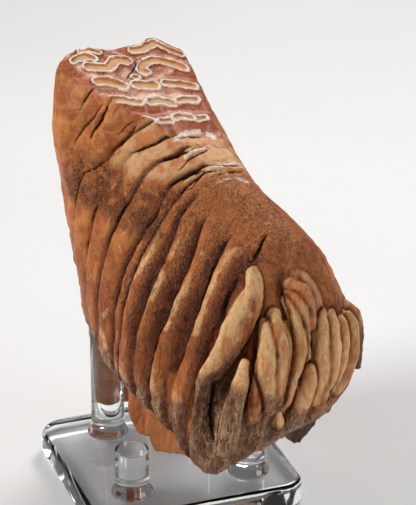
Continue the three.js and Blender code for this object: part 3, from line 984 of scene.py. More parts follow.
def patch_set() -> tuple[Patch, ...]:
    """Return the cream streaks of the left side; the three 0.6 mm ones are painted highlights."""
    rows = (
        (((-33, -7, 95), (-33, -7, 88), (-36, -7, 80), (-38, -6, 72)), 1.7),
        (((-38, -6, 72), (-41, -4, 64), (-42, -3, 56), (-42, -4, 47)), 1.9, 0.76),
        (((-23, -16, 98), (-25, -16, 90), (-27, -16, 83)), 1.0),
        (((-30, -19, 78), (-31, -19, 70), (-33, -19, 61)), 1.5, 0.85),
        (((-15, -30, 97), (-17, -29, 89), (-18, -28, 83)), 1.2, 0.75),
        (((-18, -28, 83), (-20, -29, 75), (-23, -29, 66), (-24, -28, 58), (-26, -28, 48)), 1.7),
        (((-2, -40, 104), (-5, -41, 98), (-9, -42, 91)), 3.0, 0.58),
        (((-9, -42, 90), (-11, -41, 82), (-13, -43, 73), (-15, -44, 64), (-16, -44, 54)), 2.1),
        (((-29, -25, 20), (-28, -26, 13), (-26, -29, 8)), 2.6, 0.75),
        (((-21, -37, 15), (-20, -43, 14), (-18.5, -47, 14)), 1.8),
        (((-47, 7, 38), (-47.4, 7.5, 35)), 1.3),
        # Painted highlights along three crests.
        (((-61, 34, 88), (-61, 34, 81), (-59, 40, 69), (-59, 41, 60), (-57, 42, 51)), 0.6, 0.75),
        (((-49, 19, 97), (-50, 18, 93), (-51, 17, 88), (-52, 18, 83), (-53, 18, 79),
            (-52, 16, 76)), 0.6, 0.8),
        (((-39, 8, 103), (-41, 7, 98), (-43, 8, 93), (-44, 8, 88), (-46, 9, 84), (-47, 8, 79),
            (-46, 6, 76), (-45, 4, 70)), 0.6, 0.8),
        (((-46, 14, 22), (-45, 8, 19), (-43, 5, 13), (-40, 1, 8), (-37, -7, 7), (-34, -14, 4)),
            2.0, 0.8),
        (((-34, -14, 4), (-29, -20, 0), (-24, -24, -3), (-21, -33, -4)), 2.0, 0.65),
    )
    return tuple(Patch(*row) for row in rows)


@dataclass(frozen=True)
class Relief:
    """How high or deep each kind of relief is, in mm."""

    dentine_dip: float = 0.35
    cement_dip: float = 2.4
    cement_lumps: float = 0.3
    enamel: float = 0.75
    enamel_chips: float = 0.6
    open_groove: float = 1.8
    plate_step: float = 0.7
    swell: float = 0.8
    lumps: float = 0.5
    pits: float = 0.22
    fibres: float = 0.2
    low_fibres: float = 0.75
    low_wrinkles: float = 0.45
    knobs: float = 0.9
    seam: float = 1.8
    crease: float = 0.5
    finger: float = 0.3
    finger_lumps: float = 0.35
    finger_streaks: float = 0.16
    frill: float = 0.7
    frill_chips: float = 0.9


@dataclass(frozen=True)
class Zones:
    """Where the kinds of surface lie in the tooth's frame.

    Each pair is where a share rises from 0 and where it reaches 1. The name tells what it runs along:
    along is y, across is x and height is z.
    """

    worn_rim: Row = (17.5, 21.5)
    fine_along: float = -50.0
    fine_height: float = -24.0
    skirt_top: float = 24.0
    skirt_off: Row = (2.5, 4.5)
    skirt_height: Row = (26, 20)
    skirt_along: Row = (-62, -56)
    skirt_shade: Row = (46, 56)
    roof_along: Row = (-6, -14)
    end_along: Row = (-50, -56)
    end_height: Row = (30, 50)
    band_bottom: Row = (84, 96)
    band_top: Row = (124, 114)
    band_along: Row = (60, 48)
    band_across: Row = (-12, -24)
    slope_along: Row = (14, -12)
    slope_height: Row = (30, 52)
    tan_limit: tuple[Row, Row] = ((-47, -24, -9, 8), (112, 120, 129, 131))
    tan_front: Row = (36, 26)
    tan_back: Row = (-16, -9)
    tan_across: Row = (-58, -46)
    crest_front: Row = (4, -12)
    crest_back: Row = (-51, -47)
    crest_height: Row = (40, 60)
    glint_along: Row = (0, 8)
    glint_height: Row = (125, 110)
    crack_along: Row = (62, 56)
    crack_height: Row = (-12, 2)
    wide_along: Row = (0, -20)
    wide_height: Row = (92, 60)
    groove_shade_along: Row = (45, 5)
    slope_shade_along: Row = (8, -12)
    seam_height: Row = (4, 14)
    gap_bottom: Row = (14, 30)
    gap_top: Row = (92, 76)
    big_finger_across: Row = (8, 3)
    big_finger_bottom: Row = (52, 60)
    big_finger_top: Row = (100, 86)
    far_across: Row = (72, 75)
    far_height: Row = (92, 84)
    low_shade_height: Row = (88, 60)
    low_shade_along: Row = (40, 0)


@dataclass(frozen=True)
class Skin:
    """What the masks of the tooth's skin are worked out from, for each point.

    Soft, fine and streak are noises. Phase is how far over its plate a point is, left how much it
    faces left, and groove, skirt and side are its shares of those.
    """

    points: Points
    normals: Points
    soft: Points
    fine: Points
    streak: Points
    groove: Points
    phase: Points
    openness: Points
    left: Points
    skirt: Points
    side: Points
    fingers: FingerRead


class Mark(Enum):
    """The masks that the fossil's finish reads from its mesh."""

    GRAIN = "grain"
    TAN = "tan"
    CREAM = "cream"
    BROWN = "brown"
    GREY = "grey"
    FIBRE = "fibre"
    SKIRT = "skirt"
    SHADE = "shade"
    CEMENT = "cement"
    DENTINE = "dentine"
    ENAMEL = "enamel"
    CRACK = "crack"
    RIM = "rim"
    # Painted shade in the grooves, the hollows and beside the fingers, with darker seams and patches.
    DUSK = "shade_grime"
    # Low on the sides: painted shade in blotches, and the fine crackle there.
    AGED = "low_shade_crackle"


@dataclass(frozen=True)
class Molar:
    """The tooth as one natural piece, with its relief and its masks."""

    place: ToothFrame = ToothFrame()
    crown: Crown = Crown()
    wall: RootWall = RootWall()
    lobe: RootLobe = RootLobe()
    fingers: tuple[Finger, ...] = finger_set()
    loops: tuple[EnamelLoop, ...] = enamel_loops()
    cracks: tuple[Crack, ...] = crack_set()
    hollows: tuple[Crack, ...] = hollow_set()
    frills: tuple[Frill, ...] = frill_set()
    patches: tuple[Patch, ...] = patch_set()
    # Where the weathered grey of the low end begins, as y and z.
    grey_line: tuple[Row, ...] = (
        (-81, 46), (-70, 52), (-66, 45), (-56, 34), (-54, 24), (-49, 14), (-37, 8), (-25, 6), (-7, 3),
        (5, 11), (13, 17), (30, 22),
    )
    relief: Relief = Relief()
    zones: Zones = Zones()
    voxel: float = 0.8
    triangles: int = 194000
    # The stand's best side, and the share of the faces turned away from it that is kept at first.
    best_side: Row = (-0.45, -0.8, 0.4)
    away_keep: float = 0.45

    def build(self, pegs: dict[str, "Peg"]) -> Piece:
        """Make the tooth's mesh and dress it.

        Args:
            pegs: The stand's pegs by name, which the tooth's seats clear.

        Returns:
            The finished object.
        """
        molar = self._rough_body()
        self._refine(molar)
        self._carve(molar)
        self._thin(molar)
        self._seat(molar, pegs)
        self._mark(molar)
        molar.data.materials.append(FossilFinish().material())
        select_only(molar)
        bpy.ops.object.shade_smooth()
        return molar

    def _rough_body(self) -> Piece:
        """Join crown, fingers and root wall into one closed skin.

        Returns:
            The tooth's object.
        """
        shells = [self.crown.shell(), self.wall.shell(), self.lobe.shell()]
        shells += [finger.shell() for finger in self.fingers]
        points: list[Points] = []
        faces: list[tuple[int, ...]] = []
        start = 0
        for shell in shells:
            points.append(shell.points)
            faces += [tuple(start + i for i in face) for face in shell.faces]
            start += len(shell.points)
        mesh = bpy.data.meshes.new("molar_fossil")
        mesh.from_pydata((self.place.to_stand(np.concatenate(points)) * MM).tolist(), [], faces)
        body = bpy.data.objects.new("molar_fossil", mesh)
        bpy.context.scene.collection.objects.link(body)
        select_only(body)
        remesh = body.modifiers.new("one skin", "REMESH")
        remesh.mode = "VOXEL"
        remesh.voxel_size = self.voxel * MM
        bpy.ops.object.modifier_apply(modifier=remesh.name)
        return body

    def _refine(self, molar: Piece) -> None:
        """Halve the faces of the worn top and of the fingers, where the detail is finest.

        Args:
            molar: The tooth's object.
        """
        points, normals = self._points(molar)
        fine = self._worn_share(points, normals) > 0.4
        low_end = (points[:, 1] < self.zones.fine_along) & (points[:, 2] > self.zones.fine_height)
        fine |= low_end & (normals[:, 1] < 0.2)
        select_only(molar)
        start_choice("FACE")
        chosen = [all(fine[v] for v in polygon.vertices) for polygon in molar.data.polygons]
        molar.data.polygons.foreach_set("select", chosen)
        bpy.ops.object.mode_set(mode="EDIT")
        bpy.ops.mesh.subdivide(number_cuts=1)
        bpy.ops.object.mode_set(mode="OBJECT")

    def _points(self, molar: Piece) -> tuple[Points, Points]:
        """Read the mesh.

        Args:
            molar: The tooth's object.

        Returns:
            Its points in mm and its normals, both in the tooth's frame.
        """
        mesh = molar.data
        count = len(mesh.vertices)
        points = np.empty(count * 3)
        mesh.vertices.foreach_get("co", points)
        normals = np.empty(count * 3, np.float32)
        mesh.vertex_normals.foreach_get("vector", normals)
        turned = normals.reshape(-1, 3).astype(float) @ self.place.matrix()
        return self.place.to_tooth(points.reshape(-1, 3) / MM), turned

    def _worn_share(self, points: Points, normals: Points) -> Points:
        """Find the worn face.

        Args:
            points: (n, 3), in the tooth's frame.
            normals: The points' normals.

        Returns:
            How much each point belongs to it, from 0 to 1.
        """
        above = points[:, 2] - self.crown.worn.height(points[:, 1])
        above = above + 2.2 * ramp(self._loop_edges(points), 0.4, 9.0)
        soft = Noise(29).at(points, 9.0, 2)
        back = ramp(points[:, 1] + 0.08 * points[:, 0] + 1.5 * soft, *self.zones.worn_rim)
        return ramp(above, -1.9, -0.8) * ramp(normals[:, 2], 0.45, 0.8) * back

    def _loop_edges(self, points: Points) -> Points:
        """Measure how far points are from the enamel loops' rippled edges.

        Args:
            points: (n, 3), in the tooth's frame.

        Returns:
            How far each point is outside the nearest loop's edge, less than 0 inside.
        """
        ripple = Noise(23).at(points, 4.5, 2) * 0.55
        edges = np.full(len(points), np.inf)
        for loop in self.loops:
            edges = np.minimum(edges, loop.edge_distance(points[:, :2]))
        return edges + ripple + 0.3 * Noise(97).at(points, 1.7)

    def _groove_gaps(self, points: Points) -> Points:
        """Return where the grooves stand open as cracks, from 0 to 1."""
        return ramp(Noise(31).at(points, 14.0), -0.5, 0.3) * self.crown.openness(points)

    @staticmethod
    def _chips(points: Points) -> Points:
        """Return the unevenness of the enamel, from about -1 to 1."""
        return Noise(37).at(points, 2.2, 2)

    @staticmethod
    def _fibres(points: Points) -> Points:
        """Return the upright fibres' height, from about -1 to 1."""
        return Noise(47).at(points, 3.0, 2, 0.2)

    def _grey_limit(self, points: Points) -> Points:
        """Find where the weathered grey begins.

        Args:
            points: (n, 3), in the tooth's frame.

        Returns:
            The height of its edge at each point.
        """
        y, z = np.array(self.grey_line).T
        limit = np.interp(points[:, 1], y, z)
        right = ramp(points[:, 0], 3, 9)
        return limit * (1 - right) + np.minimum(limit, 21) * right

    def _carve(self, molar: Piece) -> None:
        """Raise and lower the skin: enamel, grooves, cracks, lumps and fibres.

        Args:
            molar: The tooth's object.
        """
        points, normals = self._points(molar)
        worn = self._worn_share(points, normals)
        edges = self._loop_edges(points)
        chips = self._chips(points)
        self._wear_down(points, edges)
        fingers = read_fingers(self.fingers, points)
        lift = (self.relief.enamel + self.relief.enamel_chips * chips) * bell(edges - 0.2, 1.0) * worn
        self._shape_plates(lift, points, normals, worn, fingers)
        self._roughen(lift, points, worn, fingers)
        for frill in self.frills:
            rise = self.relief.frill + self.relief.frill_chips * chips
            lift += rise * frill.share(points) * (1 - worn)
        for crack in self.cracks:
            lift -= crack.depth * crack.share(points)
        for hollow in self.hollows:
            lift -= hollow.depth * hollow.share(points) * (1 - 0.7 * fingers.share)
        moved = points + normals * lift[:, None]
        molar.data.vertices.foreach_set("co", (self.place.to_stand(moved) * MM).ravel())
        molar.data.update()

    def _wear_down(self, points: Points, edges: Points) -> None:
        """Bring the top down to the worn plane, dished inside and between the enamel loops.

        Args:
            points: (n, 3), in the tooth's frame, which is changed.
            edges: How far each point is outside the nearest loop.
        """
        relief = self.relief
        dish = relief.dentine_dip * ramp(edges, -0.4, -1.4) + relief.cement_dip * ramp(edges, 0.4, 9.0)
        dish += relief.cement_lumps * Noise(39).at(points, 5.0, 2) * ramp(edges, 0.6, 3)
        ceiling = self.crown.worn.height(points[:, 1]) - dish * ramp(points[:, 1], 12, 22)
        proud = (points[:, 2] > ceiling) & (points[:, 1] > 12)
        points[proud, 2] = ceiling[proud]

    def _shape_plates(self, lift: Points, points: Points, normals: Points, worn: Points,
                      fingers: FingerRead) -> None:
        """Open the grooves and step the plates' tops.

        Args:
            lift: How far each point is raised so far, which is changed.
            points: (n, 3), in the tooth's frame.
            normals: The points' normals.
            worn: Each point's share of the worn face.
            fingers: What the fingers make of the points.
        """
        groove, depth, phase = self.crown.groove_share(points)
        sides = (1 - worn) * ramp(points[:, 2], -12, 2) * (1 - fingers.share)
        opened = self.relief.open_groove * ramp(groove, 0.84, 1.0) ** 2 * self._groove_gaps(points)
        lift -= opened * depth * sides
        top = (1 - worn) * ramp(normals[:, 2], 0.5, 0.8) * ramp(points[:, 1], -16, -8)
        top = top * ramp(points[:, 1], 24, 16)
        lift -= self.relief.plate_step * bell(phase - 0.9, 0.16) * top

    def _roughen(self, lift: Points, points: Points, worn: Points, fingers: FingerRead) -> None:
        """Add swellings, lumps, pits, fibres, knobs and the fingers' seams and streaks.

        Args:
            lift: How far each point is raised so far, which is changed.
            points: (n, 3), in the tooth's frame.
            worn: Each point's share of the worn face.
            fingers: What the fingers make of the points.
        """
        relief = self.relief
        limit = self._grey_limit(points)
        low = ramp(points[:, 2], limit + 8, limit - 8)
        lift += relief.swell * Noise(41).at(points, 19.0, 2) * (1 - worn)
        lift += relief.lumps * Noise(43).at(points, 5.5, 2) * (1 - 0.7 * worn)
        lift += relief.pits * Noise(53).at(points, 2.3, 2) * (1 - worn)
        fibres = (relief.fibres + relief.low_fibres * low) * self._fibres(points)
        lift += fibres * (1 - worn) * ramp(points[:, 1], 20, -30)
        wrinkles = relief.low_wrinkles * low * Noise(127).at(points, 1.7, 2, 0.45)
        lift += wrinkles * (1 - fingers.share)
        knobs = Noise(59).at(points, 8.0, 3, 0.55)
        lift += relief.knobs * knobs * (1 - worn) * ramp(points[:, 2], 80, 45)
        between = relief.seam * fingers.seam + relief.crease * fingers.crease
        lift -= between * ramp(points[:, 2], *self.zones.seam_height)
        lumps = relief.finger_lumps * Noise(89).at(points, 6.0)
        streaks = relief.finger_streaks * Noise(113).at(points, 2.6, 2, 0.12)
        lift += (relief.finger + lumps + streaks) * fingers.share

    def _thin(self, molar: Piece) -> None:
        """Thin the mesh to its triangle count: first the side turned away, then all of it.

        Args:
            molar: The tooth's object.
        """
        select_only(molar)
        triangulate = molar.modifiers.new("triangles", "TRIANGULATE")
        bpy.ops.object.modifier_apply(modifier=triangulate.name)
        count = len(molar.data.polygons)
        normals = self._points(molar)[1]
        away = normals @ np.array(self.best_side) < -0.1
        group = molar.vertex_groups.new(name="away")
        group.add(np.flatnonzero(away).tolist(), 1.0, "REPLACE")
        self._decimate(molar, 1 - float(away.mean()) * (1 - self.away_keep), group.name)
        molar.vertex_groups.clear()
        self._decimate(molar, self.triangles / len(molar.data.polygons), "")
        log.info("molar: %d triangles thinned to %d", count, len(molar.data.polygons))

    @staticmethod
    def _decimate(molar: Piece, ratio: float, group: str) -> None:
        """Collapse edges until a share of the faces is left.

        Args:
            molar: The tooth's object.
            ratio: The share of its faces that is left.
            group: The only vertex group to collapse in, or no name for all of the mesh.
        """
        if ratio < 1:
            thin = molar.modifiers.new("thin", "DECIMATE")
            thin.ratio = ratio
            thin.vertex_group = group
            thin.vertex_group_factor = 1e-6
            bpy.ops.object.modifier_apply(modifier=thin.name)

    def _seat(self, molar: Piece, pegs: dict[str, "Peg"]) -> None:
        """Push the skin clear of each peg.

        Args:
            molar: The tooth's object.
            pegs: The stand's pegs by name.
        """
        count = len(molar.data.vertices)
        points = np.empty(count * 3)
        molar.data.vertices.foreach_get("co", points)
        points = points.reshape(-1, 3) / MM
        for peg in pegs.values():
            clear = peg.radius + peg.seat_gap
            away = points[:, :2] - np.array(peg.at)
            out = np.linalg.norm(away, axis=1)
            top = peg.top() + peg.seat_gap
            inside = (out < clear) & (points[:, 2] < top)
            aside = inside & (clear - out < top - points[:, 2])
            points[inside & ~aside, 2] = top
            scale = clear / np.maximum(out[aside], 1e-3)
            points[aside, :2] = np.array(peg.at) + away[aside] * scale[:, None]
            log.info("seat at %s: %d points moved", peg.at, int(inside.sum()))
        molar.data.vertices.foreach_set("co", (points * MM).ravel())
        molar.data.update()

    def _mark(self, molar: Piece) -> None:
        """Write the masks that the finish reads.

        Args:
            molar: The tooth's object.
        """
        points, normals = self._points(molar)
        worn = self._worn_share(points, normals)
        masks = self._worn_masks(points, worn)
        masks.update(self._side_masks(self._read_skin(points, normals, worn)))
        for mark, values in masks.items():
            attribute = molar.data.attributes.new(mark.value, "FLOAT", "POINT")
            attribute.data.foreach_set("value", np.clip(values, 0, 1).astype(np.float32))

    def _worn_masks(self, points: Points, worn: Points) -> dict[Mark, Points]:
        """Work out the masks of the chewing face and of the bare enamel strips behind it.

        Args:
            points: (n, 3), in the tooth's frame.
            worn: Each point's share of the worn face.

        Returns:
            The masks.
        """
        edges = self._loop_edges(points)
        chips = self._chips(points)
        band = 0.64 + 0.5 * ramp(points[:, 1], 62, 48) + 0.45 * Noise(73).at(points, 3.0, 2)
        enamel = worn * ramp(np.abs(edges - 0.2) - band, 0.25, -0.25) * ramp(chips, -0.7, -0.3)
        for frill in self.frills:
            enamel = np.maximum(enamel, 0.9 * frill.share(points) * ramp(chips, -0.55, -0.05))
        rim = np.clip(1 - np.abs(edges - 1.3) / 1.0, 0, 1)
        return {
            Mark.CEMENT: worn * ramp(edges, 0.5, 1.2),
            Mark.DENTINE: worn * ramp(edges, -0.5, -1.1),
            Mark.RIM: worn * rim * ramp(band, 1.0, 0.6),
            Mark.ENAMEL: enamel,
        }

    def _read_skin(self, points: Points, normals: Points, worn: Points) -> Skin:
        """Gather what the sides' masks are worked out from.

        Args:
            points: (n, 3), in the tooth's frame.
            normals: The points' normals.
            worn: Each point's share of the worn face.

        Returns:
            What was gathered.
        """
        zones = self.zones
        fingers = read_fingers(self.fingers, points)
        groove, _, phase = self.crown.groove_share(points)
        skirt = ramp(self.crown.outside(points, zones.skirt_top), *zones.skirt_off)
        skirt = skirt * ramp(points[:, 2], *zones.skirt_height) * (1 - fingers.share)
        skirt = skirt * ramp(points[:, 1], *zones.skirt_along)
        return Skin(
            points=points,
            normals=normals,
            soft=Noise(61).at(points, 18.0, 3),
            fine=Noise(67).at(points, 5.0, 2),
            streak=Noise(71).at(points, 6.0, 2, 0.3),
            groove=groove,
            phase=phase,
            openness=self.crown.openness(points),
            left=ramp(normals[:, 0], 0.2, -0.2),
            skirt=skirt,
            side=(1 - worn) * (1 - skirt),
            fingers=fingers,
        )

    def _side_masks(self, skin: Skin) -> dict[Mark, Points]:
        """Work out the masks of everything but the chewing face.

        Args:
            skin: What they are worked out from.

        Returns:
            The masks.
        """
        x, y, z = skin.points.T
        zones = self.zones
        off_fingers = 1 - skin.fingers.share
        band = self._band(skin)
        tan = self._tan(skin)
        grey = self._grey(skin)
        # Darker in the fibres' valleys, painted shade, and along the grey's edge.
        fibre = np.maximum(ramp(self._fibres(skin.points), 0.35, -0.45), 2.9 * grey * (1 - grey))
        far = 0.85 * ramp(x, *zones.far_across) * ramp(z, *zones.far_height) * skin.fingers.share
        # Low on the sides, more towards the back: painted shade in blotches, and fine crackle.
        low_shade_crackle = skin.side * off_fingers * ramp(z + 10 * skin.soft, *zones.low_shade_height)
        return {
            Mark.GRAIN: self._grain(skin, band, tan),
            Mark.TAN: tan,
            Mark.CREAM: self._cream(skin),
            Mark.BROWN: self._brown(skin),
            Mark.GREY: grey,
            Mark.SKIRT: skin.skirt,
            Mark.SHADE: np.maximum(skin.skirt * ramp(x, *zones.skirt_shade), far),
            Mark.CRACK: self._crack(skin),
            Mark.DUSK: self._shade_and_grime(skin, band),
            Mark.FIBRE: fibre * grey,
            Mark.AGED: low_shade_crackle * (0.4 + 0.6 * ramp(y, *zones.low_shade_along)),
        }

    def _band(self, skin: Skin) -> Points:
        """Find the dark granular band across the left side.

        Args:
            skin: What it is worked out from.

        Returns:
            Each point's share of it.
        """
        x, y, z = skin.points.T
        zones = self.zones
        height = z + 7 * skin.soft
        across = ramp(height, *zones.band_bottom) * ramp(height, *zones.band_top)
        return across * ramp(y, *zones.band_along) * ramp(x, *zones.band_across)

    def _tan(self, skin: Skin) -> Points:
        """Find the pale tan area behind the chewing face.

        Args:
            skin: What it is worked out from.

        Returns:
            Each point's share of it.
        """
        x, y, z = skin.points.T
        zones = self.zones
        limit = np.interp(x, *zones.tan_limit)
        tan = ramp(z + 5 * skin.soft, limit - 3, limit + 5) * ramp(y, *zones.tan_front)
        return tan * ramp(y + 2 * skin.soft, *zones.tan_back) * skin.side * ramp(x, *zones.tan_across)

    def _grain(self, skin: Skin, band: Points, tan: Points) -> Points:
        """Work out how granular the skin is.

        Args:
            skin: What it is worked out from.
            band: Each point's share of the dark band.
            tan: Each point's share of the tan area.

        Returns:
            The mask.
        """
        _, y, z = skin.points.T
        zones = self.zones
        end = 0.8 * ramp(y, *zones.end_along) * ramp(z, *zones.end_height)
        roof = ramp(y, *zones.roof_along) * (1 - skin.openness) + end
        slope = ramp(skin.phase, 0.36, 0.5) * ramp(y, *zones.slope_along)
        slope = slope * ramp(z, *zones.slope_height) * skin.left
        grain = np.clip(0.75 * roof + 0.75 * band + 0.9 * slope + 0.2 * ramp(skin.soft, 0.1, 0.5), 0, 1)
        grain = grain * (0.75 + 0.5 * ramp(skin.fine, -0.4, 0.4))
        return grain * skin.side * (1 - skin.fingers.share) * (1 - 0.85 * tan)

    def _cream(self, skin: Skin) -> Points:
        """Work out the cream: the crests, the thin glints of painted highlight, the streaks and the
        fingers.

        Args:
            skin: What it is worked out from.

        Returns:
            The mask.
        """
        _, y, z = skin.points.T
        zones = self.zones
        crest = bell(skin.phase - 0.24, 0.14) * ramp(y, *zones.crest_front) * ramp(y, *zones.crest_back)
        crest = crest * ramp(z, *zones.crest_height) * skin.openness
        crest = 0.55 * crest * ramp(skin.streak, -0.5, 0.35) * skin.left
        glint = bell(skin.phase - 0.13, 0.05) * ramp(y, *zones.glint_along)
        glint = glint * ramp(skin.streak, 0.1, 0.4) * ramp(z, *zones.glint_height) * skin.left
        cream = np.maximum(crest, 0.45 * glint)
        streak_breaks = ramp(skin.streak + 0.6 * skin.fine, -0.9, -0.2)
        for patch in self.patches:
            cream = np.maximum(cream, patch.share(skin.points) * streak_breaks)
        share = skin.fingers.share
        return np.maximum(cream * (1 - share), share * (1 - skin.fingers.grey)) * skin.side

    def _grey(self, skin: Skin) -> Points:
        """Find the weathered grey.

        Args:
            skin: What it is worked out from.

        Returns:
            Each point's share of it.
        """
        height = skin.points[:, 2] + 5 * skin.soft + 2 * skin.fine
        limit = self._grey_limit(skin.points)
        low = ramp(height, limit + 5, limit - 5)
        return np.maximum(low * (1 - skin.fingers.share), skin.fingers.grey) * skin.side

    def _crack(self, skin: Skin) -> Points:
        """Work out the dark cores of the open grooves and of the cracks.

        Args:
            skin: What it is worked out from.

        Returns:
            The mask: over 0.5 inside a crack.
        """
        _, y, z = skin.points.T
        zones = self.zones
        wide = 1.2 + 0.6 * ramp(y, *zones.wide_along) * ramp(z, *zones.wide_height)
        crack = np.clip(1 - 6 * (1 - skin.groove) / wide, 0, 1) * (1 - skin.fingers.share)
        crack = crack * ramp(y, *zones.crack_along) * (0.42 + 0.58 * self._groove_gaps(skin.points))
        crack = crack * skin.side * ramp(z, *zones.crack_height)
        for line in self.cracks:
            crack = np.maximum(crack, line.dark_share(skin.points))
        return crack

    def _shade_and_grime(self, skin: Skin, band: Points) -> Points:
        """Work out the painted shade in the grooves, on the right slopes, in the hollows and beside the
        fingers, with darker seams and darker patches in the dark band.

        Args:
            skin: What it is worked out from.
            band: Each point's share of the dark band.

        Returns:
            The mask.
        """
        _, y, z = skin.points.T
        zones = self.zones
        # Painted shade down the grooves and the plates' right-hand slopes.
        in_groove = ramp(skin.groove, 0.5, 0.95) * ramp(y, *zones.groove_shade_along)
        on_slope = 0.75 * ramp(skin.phase, 0.5, 0.8) * ramp(y, *zones.slope_shade_along)
        shade_grime = np.maximum(in_groove, on_slope) * skin.openness * skin.left
        shade_grime = np.maximum(shade_grime, 0.62 * band * ramp(skin.fine + skin.soft, -0.5, 0.4))
        # The hollows' darkness is painted shade.
        for hollow in self.hollows:
            shade_grime = np.maximum(shade_grime, 1.1 * hollow.dark * hollow.share(skin.points))
        seam = 0.95 * skin.fingers.seam * ramp(z, *zones.seam_height)
        shade_grime = np.maximum(shade_grime * (1 - skin.fingers.share), seam)
        # Painted shade on the skin just beside the fingers.
        gap = 0.85 * skin.fingers.beside * ramp(z, *zones.gap_bottom) * ramp(z, *zones.gap_top)
        return np.maximum(shade_grime, gap) * skin.side

    def _brown(self, skin: Skin) -> Points:
        """Work out how brown the cream is: each finger's own stain, its edges, and painted shade on the big
        finger's right-facing side.

        Args:
            skin: What it is worked out from.

        Returns:
            The mask.
        """
        x, _, z = skin.points.T
        zones = self.zones
        # Painted shade down the big finger's side that faces right.
        big_finger_shade = ramp(x, *zones.big_finger_across) * ramp(z, *zones.big_finger_bottom)
        big_finger_shade = big_finger_shade * ramp(skin.normals[:, 0], -0.25, 0.3) * ramp(z, *zones.big_finger_top)
        brown = np.clip(0.8 * skin.fingers.brown + 0.75 * skin.fingers.edge + 0.9 * big_finger_shade, 0, 1)
        return brown * skin.fingers.share + 0.25 * (1 - skin.fingers.share)


# ---------- finishes ----------
class NodeBench:
    """A material being wired up."""

    def __init__(self, name: str) -> None:
        """Start a material with a Principled shader.

        Args:
            name: The material's name.
        """
        self.material = bpy.data.materials.new(name)
        self.material.use_nodes = True
        self.tree = self.material.node_tree
        self.shader = self.tree.nodes["Principled BSDF"]

    def add(self, kind: str, links: dict | None = None, **settings: object) -> bpy.types.Node:
        """Add a node.

        Args:
            kind: The node's type.
            links: What goes into each input: a socket to link, or a plain value.
            **settings: The node's own properties.

        Returns:
            The node.
        """
        node = self.tree.nodes.new(kind)
        for name, value in settings.items():
            setattr(node, name, value)
        for key, value in (links or {}).items():
            self.put(node, key, value)
        return node

    def put(self, node: bpy.types.Node, key: str | int, value: object) -> None:
        """Link a socket into a node's input, or set the input's value.

        Args:
            node: The node.
            key: The input's name or number.
            value: The socket, or the plain value.
        """
        if isinstance(value, Socket):
            self.tree.links.new(value, node.inputs[key])
        else:
            node.inputs[key].default_value = value

    def object_space(self, turn: Row = (0, 0, 0), scale: Row = (1, 1, 1)) -> Socket:
        """Read object coordinates.

        Args:
            turn: How they are turned, in radians.
            scale: What they are multiplied by.

        Returns:
            The coordinates.
        """
        source = self.add("ShaderNodeTexCoord")
        links = {"Vector": source.outputs["Object"], "Rotation": turn, "Scale": scale}
        return self.add("ShaderNodeMapping", links).outputs["Vector"]

    def leaned(self, upright: float) -> Socket:
        """Return object coordinates that stand with the tooth, their height multiplied."""
        return self.object_space(ToothFrame().undone(), (1, 1, upright))

    def noise(self, space: Socket, scale: float, detail: float = 2.0,
              distortion: float = 0.0, roughness: float = 0.5) -> Socket:
        """Add a noise texture.

        Args:
            space: Its coordinates.
            scale: How many lumps it has to a metre.
            detail: How many times finer lumps are added.
            distortion: How much it is bent.
            roughness: How strong the finer lumps are.

        Returns:
            Its value.
        """
        links = {"Vector": space, "Scale": scale, "Detail": detail, "Distortion": distortion,
                 "Roughness": roughness}
        return self.add("ShaderNodeTexNoise", links).outputs["Fac"]

    def span(self, value: Socket, low: float, high: float, start: float = 0.0,
             end: float = 1.0) -> Socket:
        """Map a value's range to another, clamped.

        Args:
            value: The value.
            low: Where its range starts; it may be above high.
            high: Where its range ends.
            start: What low becomes.
            end: What high becomes.

        Returns:
            The mapped value.
        """
        links = {"Value": value, "From Min": low, "From Max": high, "To Min": start, "To Max": end}
        return self.add("ShaderNodeMapRange", links).outputs["Result"]

    def mix(self, share: object, first: object, second: object) -> Socket:
        """Mix two colours.

        Args:
            share: How much of the second there is.
            first: The first colour.
            second: The second colour.

        Returns:
            The mixed colour.
        """
        node = self.add("ShaderNodeMix", data_type="RGBA")
        self.put(node, 0, share)
        self.put(node, 6, first)
        self.put(node, 7, second)
        return node.outputs[2]

    def math(self, operation: str, first: object, second: object) -> Socket:
        """Join two values by a math operation."""
        return self.add("ShaderNodeMath", {0: first, 1: second}, operation=operation).outputs[0]

    def rough(self, share: Socket, noise: Socket, spread: float, sharp: float) -> Socket:
        """Sharpen a mask's edge round 0.5 and break it up.

        Args:
            share: The mask.
            noise: What breaks the edge up.
            spread: How far the noise moves the edge.
            sharp: How many times steeper the edge becomes.

        Returns:
            The new mask.
        """
        shift = self.math("MULTIPLY", self.math("SUBTRACT", noise, 0.5), spread)
        return self.span(self.math("ADD", share, shift), 0.5 - 0.5 / sharp, 0.5 + 0.5 / sharp)

    def bump(self, height: Socket, strength: float, distance: object,
             under: Socket | None = None) -> Socket:
        """Add a bump layer.

        Args:
            height: The bump's height.
            strength: How strong it is.
            distance: How high it is in metres, as a value or a socket.
            under: The bump below it, if any.

        Returns:
            The bump's normal.
        """
        node = self.add("ShaderNodeBump", {"Height": height, "Strength": strength, "Distance": distance})
        if under is not None:
            self.put(node, "Normal", under)
        return node.outputs["Normal"]

    def mask(self, mark: Mark) -> Socket:
        """Return one of the mesh's masks."""
        return self.add("ShaderNodeAttribute", attribute_name=mark.value).outputs["Fac"]


def colour(code: str) -> Row:
    """Return a colour code such as C8783C as linear red, green, blue and alpha."""
    parts = [int(code[i:i + 2], 16) / 255 for i in (0, 2, 4)]
    return (*((p / 12.92 if p <= 0.04045 else ((p + 0.055) / 1.055) ** 2.4) for p in parts), 1.0)


